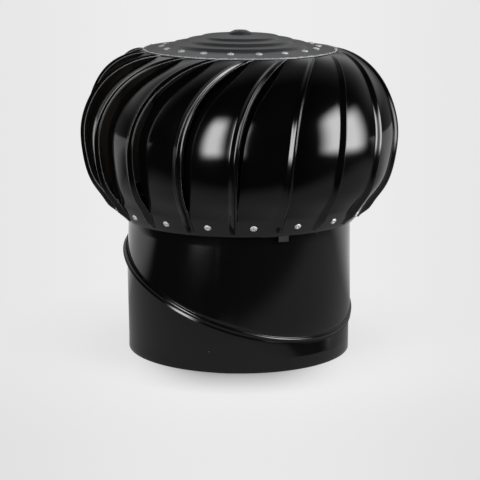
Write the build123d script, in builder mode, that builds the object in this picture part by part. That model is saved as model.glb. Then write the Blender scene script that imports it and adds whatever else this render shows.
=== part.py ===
from build123d import *
import math
import os

# Roof turbine ventilator for a 300 mm duct, in millimetres. +Z is up, the origin is the middle of
# the base rim, -Y is the front and +X is the right. Angles about Z are measured from the front
# towards the right.

# Sheet thicknesses
THROAT_SHEET = 0.8
BLADE_SHEET = 0.8
RING_SHEET = 1.2
CAP_SHEET = 1.0
FILM_GAP = 0.06

# Throat tubes
THROAT_RADIUS = 150.0
COLLAR_HEIGHT = 16.0
THROAT_STRAIGHT_FROM = 170.0
THROAT_TOP = 194.0
FIXING_HOLE_RADIUS = 1.9
FIXING_HOLE_HEIGHT = 31.0
FIXING_HOLE_ANGLES = (-15.0, 105.0, 225.0)
DRILL_OVERSHOOT = 20.0

# Swivel seam between the two throat tubes: a round joint in a sloping plane
SEAM_HEIGHT = 98.0
SEAM_TILT = 22.5
SEAM_LOW_ANGLE = 49.0
SEAM_RADIUS = 157.9
ROLL_CENTRE_RADIUS = 158.8
ROLL_RADIUS = 1.5
HEM_CLEARANCE = 0.35
HEM_START = -50.0
HEM_END = 130.0
LIP_DROP = 2.9
LIP_REACH = 1.8

# Rotor head: outline of the blades' free edges between the cap rim and the bottom ring
BLADE_COUNT = 18
RIM_RADIUS = 129.5
RIM_HEIGHT = 405.0
FLANGE_SLOPE = 0.118
HEAD_OUTLINE = (
    (157.5, 393.0),
    (182.0, 371.0),
    (199.5, 341.0),
    (208.5, 307.0),
    (206.5, 270.0),
    (193.5, 230.0),
)
EDGE_ANGLE = -0.9
EDGE_TWIST = 28.9
TWIST_POWER = 4
BLADE_PITCH = 360.0 / BLADE_COUNT
BUTT_SPAN = BLADE_PITCH - 0.4
OPEN_SPAN = 18.1
OPEN_DROP = 11.0
BLADE_CAMBER = 4.0
BLADE_ROWS = 15
BLADE_COLUMNS = 5
PANEL_INSET = 1.5
PANEL_LIFT = 2.0
SHEET_OVERLAP = 0.5
BEAD_SETBACK = 4.2
BEAD_BACK = 8.0
BEAD_FRONT = 2.8
BEAD_CREST = 0.8
BEAD_RISE = 4.6
BEAD_FOOT_RISE = 6.6
BEAD_ROOT = 0.4
BEAD_TOP_FADE = 0.8
BEAD_SECTIONS = 9
BEAD_TOP = 0.03
BEAD_TILT_STEP = 0.02
BEAD_END_LIFT = 1.0
BEAD_LAP = 0.08
BEAD_LAP_RISE = 0.06

# Bottom ring of the rotor, a cone that the blades are riveted to
RING_BOTTOM = 181.5
RING_TOP = 205.0
RING_RADIUS = 157.0
RING_SLOPE = 0.7
BLADE_FOOT = 186.5
BOTTOM_RIVET_HEIGHT = 195.0
BOTTOM_RIVET_ANGLE = -13.7

# Top ring under the blade ends, and the rivets through cap, blade and ring
TAB_INNER_RADIUS = 96.5
TOP_RING_INNER = 94.5
TOP_RING_OUTER = 119.0
TOP_RIVET_RADIUS = 104.0
TOP_RIVET_ANGLE = 13.4
RIVET_SHANK = 2.0
RIVET_HOLE = 2.15
RIVET_HEAD_RADIUS = 4.7
RIVET_HEAD_HEIGHT = 2.0
RIVET_TAIL_RADIUS = 3.4
RIVET_TAIL_HEIGHT = 1.4
RIVET_TAIL_TAPER = 0.8
RIVET_DIMPLE_RADIUS = 0.15
RIVET_DIMPLE_FLOOR = 0.5
RIVET_CROWN_RADIUS = 0.35
RIVET_SHOULDER = (0.8, 0.7)
SMALL_RIVET_HEAD = 3.6
BRACE_RIVET_RISE = 1.2
ARM_RIVET_RISE = 1.4
HOLE_DEPTH = 6.0
HOLE_LENGTH = 9.0

# Pressed steps of the cap, as radius and height above the rim
CAP_STEPS = ((94.0, 4.2), (88.5, 8.2), (74.0, 9.6), (69.5, 13.2), (54.5, 14.6), (50.4, 17.6), (24.0, 19.8))
CAP_HOLE = 4.2
KNOB_RADIUS = 15.0
KNOB_HEIGHT = 5.4
KNOB_CROWN_RADIUS = 1.5
KNOB_EDGE_INSET = 1.5
KNOB_EDGE_RISE = 0.45
KNOB_SHOULDER = (0.55, 0.9)

# Fixed shaft, its braces across the throat, and the rotor's hub and bearing
SHAFT_RADIUS = 5.0
SHAFT_BOTTOM = 164.0
SHAFT_TOP = 418.5
RUNNING_CLEARANCE = 0.05
BRACE_SHEET = 2.0
BRACE_WIDTH = 18.0
BRACE_DISC = 22.0
LOWER_BRACE_HEIGHT = 172.0
LOWER_BRACE_ANGLE = 41.6
UPPER_BRACE_HEIGHT = 187.0
UPPER_BRACE_ANGLE = -18.4
BRACE_TAB = 12.0
LOWER_BRACE_RIVETS = 179.0
UPPER_BRACE_RIVETS = 182.0
TAB_CLEARANCE = 0.03
SHAFT_CHAMFER = 0.8
NUT_HEIGHT = 6.0
NUT_FLATS = 16.0
WASHER_RADIUS = 11.0
WASHER_THICKNESS = 1.0
HUB_BOTTOM = 198.5
HUB_TOP = 212.5
HUB_RADIUS = 10.0
HUB_FLANGE_RADIUS = 24.0
HUB_FLANGE_BOTTOM = 200.5
BUSH_RADIUS = 8.0
ARM_HEIGHT = 203.0
ARM_SHEET = 1.5
ARM_WIDTH = 14.0
ARM_GAP = 0.25
HUB_CLEARANCE = 1.0
ARM_TAB_BOTTOM = 173.5
ARM_ANGLE = 21.5
COLLAR_RADIUS = 9.0
COLLAR_LENGTH = 4.5
COLLAR_GAP = 0.25
BEARING_BOTTOM = 412.0
BEARING_HEIGHT = 7.0
BEARING_RADIUS = 11.0
HOUSING_RADIUS = 13.0
HOUSING_BOTTOM = 409.0
HOUSING_FLANGE_RADIUS = 22.0
HOUSING_FLANGE_SHEET = 2.0
HOUSING_SHOULDER = 8.0
KNOB_STEM_RADIUS = 4.0
KNOB_STEM_LENGTH = 5.0
KNOB_NUT_RADIUS = 6.5
KNOB_NUT_HEIGHT = 3.2
ARM_RIVET_RADIUS = 17.5


def save(part, name):
    part.label = name
    export_step(part, f"parts/{name}.step")


def around(angle):
    """Unit vector from the axis towards an angle, 0 at the front and 90 at the right."""
    return Vector(math.sin(math.radians(angle)), -math.cos(math.radians(angle)), 0)


def radial_plane(angle):
    """Upright plane through the axis: its x runs outwards at the angle and its y runs up."""
    outwards = around(angle)
    return Plane(origin=(0, 0, 0), x_dir=outwards, z_dir=outwards.cross(Vector(0, 0, 1)))


def cone_plane(angle, radius, height, rise):
    """Plane on a cone's surface, with its z leaving the sheet at a rise above the horizontal."""
    outwards = around(angle)
    normal = outwards * math.cos(math.radians(rise)) + Vector(0, 0, math.sin(math.radians(rise)))
    return Plane(origin=outwards * radius + Vector(0, 0, height), x_dir=around(angle + 90), z_dir=normal)


# The seam plane and a plane across it for profiles that turn about the seam's axis
seam_slope = around(SEAM_LOW_ANGLE)
seam_across = around(SEAM_LOW_ANGLE + 90)
seam_centre = Vector(0, 0, SEAM_HEIGHT)
seam_normal = seam_slope * math.sin(math.radians(SEAM_TILT)) + Vector(0, 0, math.cos(math.radians(SEAM_TILT)))
seam_plane = Plane(origin=seam_centre, x_dir=seam_across, z_dir=seam_normal)
seam_section = Plane(origin=seam_centre, x_dir=seam_across, z_dir=seam_across.cross(seam_normal))
seam_axis = Axis(seam_centre, seam_normal)
hem_inner = ROLL_RADIUS + HEM_CLEARANCE
hem_outer = hem_inner + THROAT_SHEET
hem_plane = seam_plane.offset((hem_inner + hem_outer) / 2 * math.sin(math.radians(HEM_END)))

# Lower throat: straight collar, sloping gore, and a rolled edge round the seam
with BuildPart() as lower_throat:
    with BuildSketch():
        Circle(THROAT_RADIUS)
    extrude(amount=COLLAR_HEIGHT)
    with BuildSketch(Plane.XY.offset(COLLAR_HEIGHT)):
        Circle(THROAT_RADIUS)
    with BuildSketch(seam_plane):
        Circle(SEAM_RADIUS)
    loft()
    with BuildSketch():
        Circle(THROAT_RADIUS - THROAT_SHEET)
    extrude(amount=COLLAR_HEIGHT, mode=Mode.SUBTRACT)
    with BuildSketch(Plane.XY.offset(COLLAR_HEIGHT)):
        Circle(THROAT_RADIUS - THROAT_SHEET)
    with BuildSketch(seam_plane):
        Circle(SEAM_RADIUS - THROAT_SHEET)
    loft(mode=Mode.SUBTRACT)
    with BuildSketch(seam_section):
        with Locations((ROLL_CENTRE_RADIUS, 0)):
            Circle(ROLL_RADIUS)
    revolve(axis=seam_axis)
    for hole_angle in FIXING_HOLE_ANGLES:
        with BuildSketch(Plane(origin=(0, 0, FIXING_HOLE_HEIGHT), x_dir=(0, 0, 1), z_dir=around(hole_angle))):
            Circle(FIXING_HOLE_RADIUS)
        extrude(amount=THROAT_RADIUS + DRILL_OVERSHOOT, mode=Mode.SUBTRACT)
save(lower_throat.part, "lower_throat")

# Upper throat: a gore from the seam to a straight neck, with a hem that wraps the rolled edge
with BuildPart() as upper_throat:
    with BuildSketch(Plane.XY.offset(THROAT_STRAIGHT_FROM)):
        Circle(THROAT_RADIUS)
    with BuildSketch(hem_plane):
        Circle(SEAM_RADIUS)
    loft()
    with BuildSketch(Plane.XY.offset(THROAT_STRAIGHT_FROM)):
        Circle(THROAT_RADIUS)
    extrude(amount=THROAT_TOP - THROAT_STRAIGHT_FROM)
    with BuildSketch(Plane.XY.offset(THROAT_STRAIGHT_FROM)):
        Circle(THROAT_RADIUS - THROAT_SHEET)
    with BuildSketch(hem_plane):
        Circle(SEAM_RADIUS - THROAT_SHEET)
    loft(mode=Mode.SUBTRACT)
    with BuildSketch(Plane.XY.offset(THROAT_STRAIGHT_FROM)):
        Circle(THROAT_RADIUS - THROAT_SHEET)
    extrude(amount=THROAT_TOP - THROAT_STRAIGHT_FROM, mode=Mode.SUBTRACT)
    with BuildSketch(seam_section):
        with BuildLine():
            outer_arc = CenterArc((ROLL_CENTRE_RADIUS, 0), hem_outer, HEM_START, HEM_END - HEM_START)
            inner_arc = CenterArc((ROLL_CENTRE_RADIUS, 0), hem_inner, HEM_START, HEM_END - HEM_START)
            Line(outer_arc @ 1, inner_arc @ 1)
            lip_step = Vector(LIP_REACH, -LIP_DROP)
            Polyline(outer_arc @ 0, outer_arc @ 0 + lip_step, inner_arc @ 0 + lip_step, inner_arc @ 0)
        make_face()
    revolve(axis=seam_axis)
    for brace_angle, rivet_height in (
        (LOWER_BRACE_ANGLE, LOWER_BRACE_RIVETS),
        (UPPER_BRACE_ANGLE, UPPER_BRACE_RIVETS),
    ):
        for third in range(3):
            outwards = around(brace_angle + 120 * third)
            wall = Plane(origin=(0, 0, rivet_height), x_dir=(0, 0, 1), z_dir=outwards)
            with BuildSketch(wall):
                Circle(RIVET_HOLE)
            extrude(amount=THROAT_RADIUS + DRILL_OVERSHOOT, mode=Mode.SUBTRACT)
save(upper_throat.part, "upper_throat")


# Stack of sheets at the cap flange and at the bottom ring, measured down and inwards
flange_thickness = math.hypot(1, FLANGE_SLOPE)
ring_thickness = math.hypot(1, RING_SLOPE)
flange_rise = 90 - math.degrees(math.atan(FLANGE_SLOPE))
ring_rise = -math.degrees(math.atan(RING_SLOPE))


def flange_point(radius, depth=0.0):
    """Point on the cap flange's top surface, or a depth below it through the sheets."""
    return radius, RIM_HEIGHT + FLANGE_SLOPE * (RIM_RADIUS - radius) - depth * flange_thickness


def ring_point(height, outwards=0.0):
    """Point on the bottom ring's outer surface, or a distance outwards from it."""
    return RING_RADIUS + RING_SLOPE * (height - RING_BOTTOM) + outwards * ring_thickness, height


tab_depth = CAP_SHEET + FILM_GAP
top_ring_depth = tab_depth + BLADE_SHEET + FILM_GAP
foot_lift = FILM_GAP + BLADE_SHEET
panel_top = flange_point(RIM_RADIUS - PANEL_INSET, tab_depth)
panel_bottom = ring_point(RING_TOP + PANEL_LIFT, foot_lift)
tab_outer_radius = RIM_RADIUS - PANEL_INSET + SHEET_OVERLAP
foot_top = RING_TOP + PANEL_LIFT + SHEET_OVERLAP

top_rivet_planes = []
bottom_rivet_planes = []
for index in range(BLADE_COUNT):
    turn = index * BLADE_PITCH
    top_rivet_planes.append(cone_plane(TOP_RIVET_ANGLE + turn, *flange_point(TOP_RIVET_RADIUS), flange_rise))
    bottom_rivet_planes.append(
        cone_plane(BOTTOM_RIVET_ANGLE + turn, *ring_point(BOTTOM_RIVET_HEIGHT, foot_lift), ring_rise)
    )

# Outline of the free edge from the cap rim to the bottom ring
with BuildLine(Plane.XZ) as head_line:
    Spline(panel_top, *HEAD_OUTLINE, panel_bottom, tangents=((1, -FLANGE_SLOPE), (-RING_SLOPE, -1)))
outline = head_line.edges()[0]


def blade_point(travel, across, height=0.0):
    """Point on the blade's outer surface, or at a height out from it.

    travel runs from 0 at the cap rim to 1 at the bottom ring, and across from 0 at the inner edge
    to 1 at the free edge.
    """
    openness = 1 - (2 * travel - 1) ** 4
    span = BUTT_SPAN + (OPEN_SPAN - BUTT_SPAN) * openness
    turn = EDGE_ANGLE + EDGE_TWIST * (1 - travel) ** TWIST_POWER - span * (1 - across)
    lift = height + openness * (4 * BLADE_CAMBER * across * (1 - across) - OPEN_DROP * (1 - across))
    place = outline @ travel
    tangent = outline % travel
    return around(turn) * (place.X - tangent.Z * lift) + Vector(0, 0, place.Z + tangent.X * lift)


def bead_plane(travel):
    """Plane across the bead: its x runs towards the free edge and its y leaves the blade."""
    place = blade_point(travel, bead_share)
    forward = blade_point(travel, bead_share + BEAD_TILT_STEP) - place
    outwards = blade_point(travel, bead_share, 1.0) - place
    return Plane(origin=place, x_dir=forward, z_dir=forward.cross(outwards))


panel_points = [
    [blade_point(row / (BLADE_ROWS - 1), column / (BLADE_COLUMNS - 1)) for column in range(BLADE_COLUMNS)]
    for row in range(BLADE_ROWS)
]
panel_skin = Face.make_surface_from_array_of_points(panel_points, tol=0.02, min_deg=3, max_deg=5)
widest_radius = max(radius for radius, _ in HEAD_OUTLINE)
bead_share = 1 - math.degrees(BEAD_SETBACK / widest_radius) / OPEN_SPAN

# Sections of the bead: down the curved panel, and then straight on down the foot, where the
# straight run starts a little back and a touch prouder so that the two runs lap
panel_run = []
for section in range(BEAD_SECTIONS):
    share = section / (BEAD_SECTIONS - 1)
    rise = BEAD_RISE * (1 - BEAD_TOP_FADE * (1 - share) ** 6) + (BEAD_FOOT_RISE - BEAD_RISE) * share**8
    panel_run.append((bead_plane(BEAD_TOP + (1 - BEAD_TOP) * share), rise))
foot_plane = panel_run[-1][0]
foot_radius, foot_height = ring_point(BLADE_FOOT + BEAD_END_LIFT, foot_lift)
foot_fall = Vector(0, 0, foot_height - panel_bottom[1])
foot_reach = around(EDGE_ANGLE - BUTT_SPAN * (1 - bead_share)) * (foot_radius - panel_bottom[0])
foot_start_plane = Plane(
    origin=foot_plane.origin - (foot_reach + foot_fall) * BEAD_LAP,
    x_dir=foot_plane.x_dir,
    z_dir=foot_plane.z_dir,
)
foot_end_plane = Plane(
    origin=foot_plane.origin + foot_reach + foot_fall, x_dir=foot_plane.x_dir, z_dir=foot_plane.z_dir
)
foot_rise = BEAD_FOOT_RISE + BEAD_LAP_RISE
foot_run = [(foot_start_plane, foot_rise), (foot_end_plane, foot_rise)]

# One blade: the curved panel, a swaged bead beside its free edge, a tab for the cap rivet and a
# foot for the ring rivet
with BuildPart() as blade_form:
    thicken(panel_skin, amount=-BLADE_SHEET)
    for run in (panel_run, foot_run):
        for section_plane, rise in run:
            with BuildSketch(section_plane):
                Polygon(
                    (-BEAD_BACK, -BEAD_ROOT),
                    (BEAD_FRONT, -BEAD_ROOT),
                    (BEAD_CREST, rise),
                    (-BEAD_CREST, rise),
                    align=None,
                )
        loft()
    with BuildSketch(radial_plane(EDGE_ANGLE + EDGE_TWIST - BUTT_SPAN)):
        Polygon(
            flange_point(TAB_INNER_RADIUS, tab_depth),
            flange_point(tab_outer_radius, tab_depth),
            flange_point(tab_outer_radius, tab_depth + BLADE_SHEET),
            flange_point(TAB_INNER_RADIUS, tab_depth + BLADE_SHEET),
            align=None,
        )
    revolve(axis=Axis.Z, revolution_arc=BUTT_SPAN)
    with BuildSketch(radial_plane(EDGE_ANGLE - BUTT_SPAN)):
        Polygon(
            ring_point(BLADE_FOOT, foot_lift),
            ring_point(foot_top, foot_lift),
            ring_point(foot_top, FILM_GAP),
            ring_point(BLADE_FOOT, FILM_GAP),
            align=None,
        )
    revolve(axis=Axis.Z, revolution_arc=BUTT_SPAN)
    for rivet_plane in (top_rivet_planes[0], bottom_rivet_planes[0]):
        with BuildSketch(rivet_plane.offset(-HOLE_DEPTH)):
            Circle(RIVET_HOLE)
        extrude(amount=HOLE_LENGTH, mode=Mode.SUBTRACT)

for index in range(BLADE_COUNT):
    with BuildPart() as blade:
        add(blade_form.part, rotation=(0, 0, index * BLADE_PITCH))
    save(blade.part, f"blade_{index + 1:02d}")

# Bottom ring
with BuildPart() as bottom_ring:
    with BuildSketch(Plane.XZ):
        Polygon(
            ring_point(RING_BOTTOM),
            ring_point(RING_TOP),
            ring_point(RING_TOP, -RING_SHEET),
            ring_point(RING_BOTTOM, -RING_SHEET),
            align=None,
        )
    revolve(axis=Axis.Z)
    for rivet_plane in bottom_rivet_planes:
        with BuildSketch(rivet_plane.offset(-HOLE_DEPTH)):
            Circle(RIVET_HOLE)
        extrude(amount=HOLE_LENGTH, mode=Mode.SUBTRACT)
save(bottom_ring.part, "bottom_ring")

# Top ring that backs the blades' tabs
with BuildPart() as top_ring:
    with BuildSketch(Plane.XZ):
        Polygon(
            flange_point(TOP_RING_INNER, top_ring_depth),
            flange_point(TOP_RING_OUTER, top_ring_depth),
            flange_point(TOP_RING_OUTER, top_ring_depth + RING_SHEET),
            flange_point(TOP_RING_INNER, top_ring_depth + RING_SHEET),
            align=None,
        )
    revolve(axis=Axis.Z)
    for rivet_plane in top_rivet_planes:
        with BuildSketch(rivet_plane.offset(-HOLE_DEPTH)):
            Circle(RIVET_HOLE)
        extrude(amount=HOLE_LENGTH, mode=Mode.SUBTRACT)
save(top_ring.part, "top_ring")

# Cap: a pressed disc that climbs in three steps to a flat centre
cap_top = [(RIM_RADIUS, RIM_HEIGHT)]
cap_top += [(radius, RIM_HEIGHT + climb) for radius, climb in CAP_STEPS]
land_height = cap_top[-1][1]
cap_top.append((CAP_HOLE, land_height))
cap_under = [(radius, height - CAP_SHEET) for radius, height in reversed(cap_top)]
with BuildPart() as top_cap:
    with BuildSketch(Plane.XZ):
        with BuildLine():
            Polyline(*cap_top, *cap_under, close=True)
        make_face()
    revolve(axis=Axis.Z)
    for rivet_plane in top_rivet_planes:
        with BuildSketch(rivet_plane.offset(-HOLE_DEPTH)):
            Circle(RIVET_HOLE)
        extrude(amount=HOLE_LENGTH, mode=Mode.SUBTRACT)
save(top_cap.part, "top_cap")


def rivet_form(grip, head_radius, head_height):
    """Blind rivet: a low dimpled dome outside and a formed tail inside, with a grip between."""
    with BuildPart() as rivet:
        with BuildSketch(Plane.XZ):
            with BuildLine():
                rim = (head_radius, 0.0)
                crown = (RIVET_CROWN_RADIUS * head_radius, head_height)
                shoulder = (RIVET_SHOULDER[0] * head_radius, RIVET_SHOULDER[1] * head_height)
                dimple = (RIVET_DIMPLE_RADIUS * head_radius, RIVET_DIMPLE_FLOOR * head_height)
                Line((0, dimple[1]), dimple)
                Line(dimple, crown)
                ThreePointArc(crown, shoulder, rim)
                Polyline(
                    rim,
                    (RIVET_SHANK, 0.0),
                    (RIVET_SHANK, -grip),
                    (RIVET_TAIL_RADIUS, -grip),
                    (RIVET_TAIL_RADIUS - RIVET_TAIL_TAPER, -grip - RIVET_TAIL_HEIGHT),
                    (0, -grip - RIVET_TAIL_HEIGHT),
                    (0, dimple[1]),
                )
            make_face()
        revolve(axis=Axis.Z)
    return rivet.part


top_grip = top_ring_depth + RING_SHEET + 2 * FILM_GAP
with BuildPart() as top_rivets:
    with Locations(*[plane.offset(FILM_GAP) for plane in top_rivet_planes]):
        add(rivet_form(top_grip, RIVET_HEAD_RADIUS, RIVET_HEAD_HEIGHT))
save(top_rivets.part, "top_rivets")

bottom_grip = foot_lift + RING_SHEET + 2 * FILM_GAP
with BuildPart() as bottom_rivets:
    with Locations(*[plane.offset(FILM_GAP) for plane in bottom_rivet_planes]):
        add(rivet_form(bottom_grip, RIVET_HEAD_RADIUS, RIVET_HEAD_HEIGHT))
save(bottom_rivets.part, "bottom_rivets")


def tube(inner_radius, outer_radius, bottom, top, name):
    """Plain round sleeve about the shaft."""
    with BuildPart() as sleeve:
        with BuildSketch(Plane.XY.offset(bottom)):
            Circle(outer_radius)
            Circle(inner_radius, mode=Mode.SUBTRACT)
        extrude(amount=top - bottom)
    save(sleeve.part, name)


def hex_nut(bottom, name):
    """Hexagon nut on the shaft."""
    with BuildPart() as nut:
        with BuildSketch(Plane.XY.offset(bottom)):
            RegularPolygon(NUT_FLATS / 2, 6, major_radius=False)
            Circle(SHAFT_RADIUS, mode=Mode.SUBTRACT)
        extrude(amount=NUT_HEIGHT)
    save(nut.part, name)


# Fixed shaft with its two braces across the throat
with BuildPart() as shaft:
    with BuildSketch(Plane.XY.offset(SHAFT_BOTTOM)):
        Circle(SHAFT_RADIUS)
    extrude(amount=SHAFT_TOP - SHAFT_BOTTOM)
    chamfer(shaft.edges().filter_by(GeomType.CIRCLE), length=SHAFT_CHAMFER)
save(shaft.part, "shaft")

wall_inner = THROAT_RADIUS - THROAT_SHEET
tab_face = math.sqrt(wall_inner**2 - (BRACE_WIDTH / 2) ** 2) - TAB_CLEARANCE
brace_rivet_planes = []
braces = (
    ("lower_brace", LOWER_BRACE_HEIGHT, LOWER_BRACE_ANGLE, 1, LOWER_BRACE_RIVETS),
    ("upper_brace", UPPER_BRACE_HEIGHT, UPPER_BRACE_ANGLE, -1, UPPER_BRACE_RIVETS),
)
for name, height, first_angle, tab_side, rivet_height in braces:
    brace_angles = [first_angle + 120 * third for third in range(3)]
    with BuildPart() as brace:
        with BuildSketch(Plane.XY.offset(height)):
            Circle(BRACE_DISC)
        extrude(amount=BRACE_SHEET)
        for angle in brace_angles:
            far = tab_face
            near = tab_face - BRACE_SHEET
            tip = height + BRACE_TAB + BRACE_SHEET if tab_side > 0 else height - BRACE_TAB
            root = height if tab_side > 0 else height + BRACE_SHEET
            bend = height + BRACE_SHEET if tab_side > 0 else height
            with BuildSketch(radial_plane(angle)):
                with BuildLine():
                    Polyline(
                        (0, root), (far, root), (far, tip), (near, tip), (near, bend), (0, bend), close=True
                    )
                make_face()
            extrude(amount=BRACE_WIDTH / 2, both=True)
            wall = Plane(origin=(0, 0, rivet_height), x_dir=(0, 0, 1), z_dir=around(angle))
            with BuildSketch(wall.offset(tab_face - DRILL_OVERSHOOT / 2)):
                Circle(RIVET_HOLE)
            extrude(amount=DRILL_OVERSHOOT, mode=Mode.SUBTRACT)
            brace_rivet_planes.append(wall.offset(THROAT_RADIUS))
        with BuildSketch(Plane.XY.offset(height)):
            Circle(SHAFT_RADIUS)
        extrude(amount=BRACE_SHEET, mode=Mode.SUBTRACT)
    save(brace.part, name)

brace_grip = THROAT_RADIUS - tab_face + BRACE_SHEET + FILM_GAP
with BuildPart() as brace_rivets:
    with Locations(*brace_rivet_planes):
        add(rivet_form(brace_grip, SMALL_RIVET_HEAD, BRACE_RIVET_RISE))
save(brace_rivets.part, "brace_rivets")

upper_brace_top = UPPER_BRACE_HEIGHT + BRACE_SHEET
tube(SHAFT_RADIUS, BUSH_RADIUS, LOWER_BRACE_HEIGHT + BRACE_SHEET, UPPER_BRACE_HEIGHT, "brace_spacer")
tube(SHAFT_RADIUS, WASHER_RADIUS, LOWER_BRACE_HEIGHT - WASHER_THICKNESS, LOWER_BRACE_HEIGHT, "lower_washer")
tube(SHAFT_RADIUS, WASHER_RADIUS, upper_brace_top, upper_brace_top + WASHER_THICKNESS, "upper_washer")
hex_nut(LOWER_BRACE_HEIGHT - WASHER_THICKNESS - NUT_HEIGHT, "lower_shaft_nut")
hex_nut(upper_brace_top + WASHER_THICKNESS, "upper_shaft_nut")
collar_bottom = HUB_TOP + COLLAR_GAP
tube(SHAFT_RADIUS, COLLAR_RADIUS, collar_bottom, collar_bottom + COLLAR_LENGTH, "retaining_collar")
support_top = BEARING_BOTTOM - COLLAR_GAP
tube(SHAFT_RADIUS, COLLAR_RADIUS, support_top - COLLAR_LENGTH, support_top, "support_collar")

# Rotor hub with its bush, and three arms that carry the bottom ring
running_radius = SHAFT_RADIUS + RUNNING_CLEARANCE
arm_angles = [ARM_ANGLE + 120 * third for third in range(3)]
arm_top = ARM_HEIGHT + ARM_SHEET
arm_rivet_planes = [
    Plane(origin=around(angle) * ARM_RIVET_RADIUS + Vector(0, 0, arm_top)) for angle in arm_angles
]
with BuildPart() as lower_hub:
    with BuildSketch(Plane.XY.offset(HUB_BOTTOM)):
        Circle(HUB_RADIUS)
    extrude(amount=HUB_TOP - HUB_BOTTOM)
    with BuildSketch(Plane.XY.offset(HUB_FLANGE_BOTTOM)):
        Circle(HUB_FLANGE_RADIUS)
    extrude(amount=ARM_HEIGHT - HUB_FLANGE_BOTTOM)
    with BuildSketch(Plane.XY.offset(HUB_BOTTOM)):
        Circle(BUSH_RADIUS)
    extrude(amount=HUB_TOP - HUB_BOTTOM, mode=Mode.SUBTRACT)
    for rivet_plane in arm_rivet_planes:
        with BuildSketch(rivet_plane.offset(-HOLE_DEPTH)):
            Circle(RIVET_HOLE)
        extrude(amount=HOLE_LENGTH, mode=Mode.SUBTRACT)
save(lower_hub.part, "lower_hub")
tube(running_radius, BUSH_RADIUS, HUB_BOTTOM, HUB_TOP, "lower_bush")

leg_outer = -RING_SHEET - ARM_GAP
leg_inner = leg_outer - ARM_SHEET
tab_outer = ring_point(RING_BOTTOM, leg_outer)[0]
tab_inner = tab_outer - ARM_SHEET
bend_height = RING_BOTTOM + (tab_inner - ring_point(RING_BOTTOM, leg_inner)[0]) / RING_SLOPE
for number, angle in enumerate(arm_angles, start=1):
    with BuildPart() as rotor_arm:
        with BuildSketch(radial_plane(angle)):
            with BuildLine():
                Polyline(
                    (HUB_RADIUS + HUB_CLEARANCE, arm_top),
                    ring_point(arm_top, leg_outer),
                    (tab_outer, RING_BOTTOM),
                    (tab_outer, ARM_TAB_BOTTOM),
                    (tab_inner, ARM_TAB_BOTTOM),
                    (tab_inner, bend_height),
                    ring_point(ARM_HEIGHT, leg_inner),
                    (HUB_RADIUS + HUB_CLEARANCE, ARM_HEIGHT),
                    close=True,
                )
            make_face()
        extrude(amount=ARM_WIDTH / 2, both=True)
        with BuildSketch(arm_rivet_planes[number - 1].offset(-HOLE_DEPTH)):
            Circle(RIVET_HOLE)
        extrude(amount=HOLE_LENGTH, mode=Mode.SUBTRACT)
    save(rotor_arm.part, f"rotor_arm_{number}")

with BuildPart() as arm_rivets:
    with Locations(*arm_rivet_planes):
        add(rivet_form(arm_top - HUB_FLANGE_BOTTOM, SMALL_RIVET_HEAD, ARM_RIVET_RISE))
save(arm_rivets.part, "arm_rivets")

# Bearing under the cap, in a housing that is spot welded to the cap's flat centre
land_under = land_height - CAP_SHEET
tube(running_radius, BEARING_RADIUS, BEARING_BOTTOM, BEARING_BOTTOM + BEARING_HEIGHT, "shaft_bearing")
with BuildPart() as bearing_housing:
    with BuildSketch(Plane.XZ):
        with BuildLine():
            Polyline(
                (BEARING_RADIUS, HOUSING_BOTTOM),
                (HOUSING_RADIUS, HOUSING_BOTTOM),
                (HOUSING_RADIUS, land_under - HOUSING_FLANGE_SHEET),
                (HOUSING_FLANGE_RADIUS, land_under - HOUSING_FLANGE_SHEET),
                (HOUSING_FLANGE_RADIUS, land_under),
                (HOUSING_SHOULDER, land_under),
                (HOUSING_SHOULDER, BEARING_BOTTOM + BEARING_HEIGHT),
                (BEARING_RADIUS, BEARING_BOTTOM + BEARING_HEIGHT),
                close=True,
            )
        make_face()
    revolve(axis=Axis.Z)
save(bearing_housing.part, "bearing_housing")

# Knob that closes the cap's centre hole, with its nut inside
knob_edge = (KNOB_RADIUS - KNOB_EDGE_INSET, land_height + KNOB_EDGE_RISE * KNOB_HEIGHT)
with BuildPart() as cap_knob:
    with BuildSketch(Plane.XZ):
        with BuildLine():
            Line((0, land_height - KNOB_STEM_LENGTH), (KNOB_STEM_RADIUS, land_height - KNOB_STEM_LENGTH))
            Polyline(
                (KNOB_STEM_RADIUS, land_height - KNOB_STEM_LENGTH),
                (KNOB_STEM_RADIUS, land_height),
                (KNOB_RADIUS, land_height),
                knob_edge,
            )
            ThreePointArc(
                knob_edge,
                (KNOB_SHOULDER[0] * KNOB_RADIUS, land_height + KNOB_SHOULDER[1] * KNOB_HEIGHT),
                (KNOB_CROWN_RADIUS, land_height + KNOB_HEIGHT),
            )
            Line((KNOB_CROWN_RADIUS, land_height + KNOB_HEIGHT), (0, land_height + KNOB_HEIGHT))
            Line((0, land_height + KNOB_HEIGHT), (0, land_height - KNOB_STEM_LENGTH))
        make_face()
    revolve(axis=Axis.Z)
save(cap_knob.part, "cap_knob")
tube(KNOB_STEM_RADIUS, KNOB_NUT_RADIUS, land_under - KNOB_NUT_HEIGHT, land_under, "knob_nut")
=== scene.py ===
import logging
import math
from dataclasses import dataclass, field
from enum import Enum
from functools import partial

import bpy
import numpy as np
from mathutils import Matrix, Vector


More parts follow.
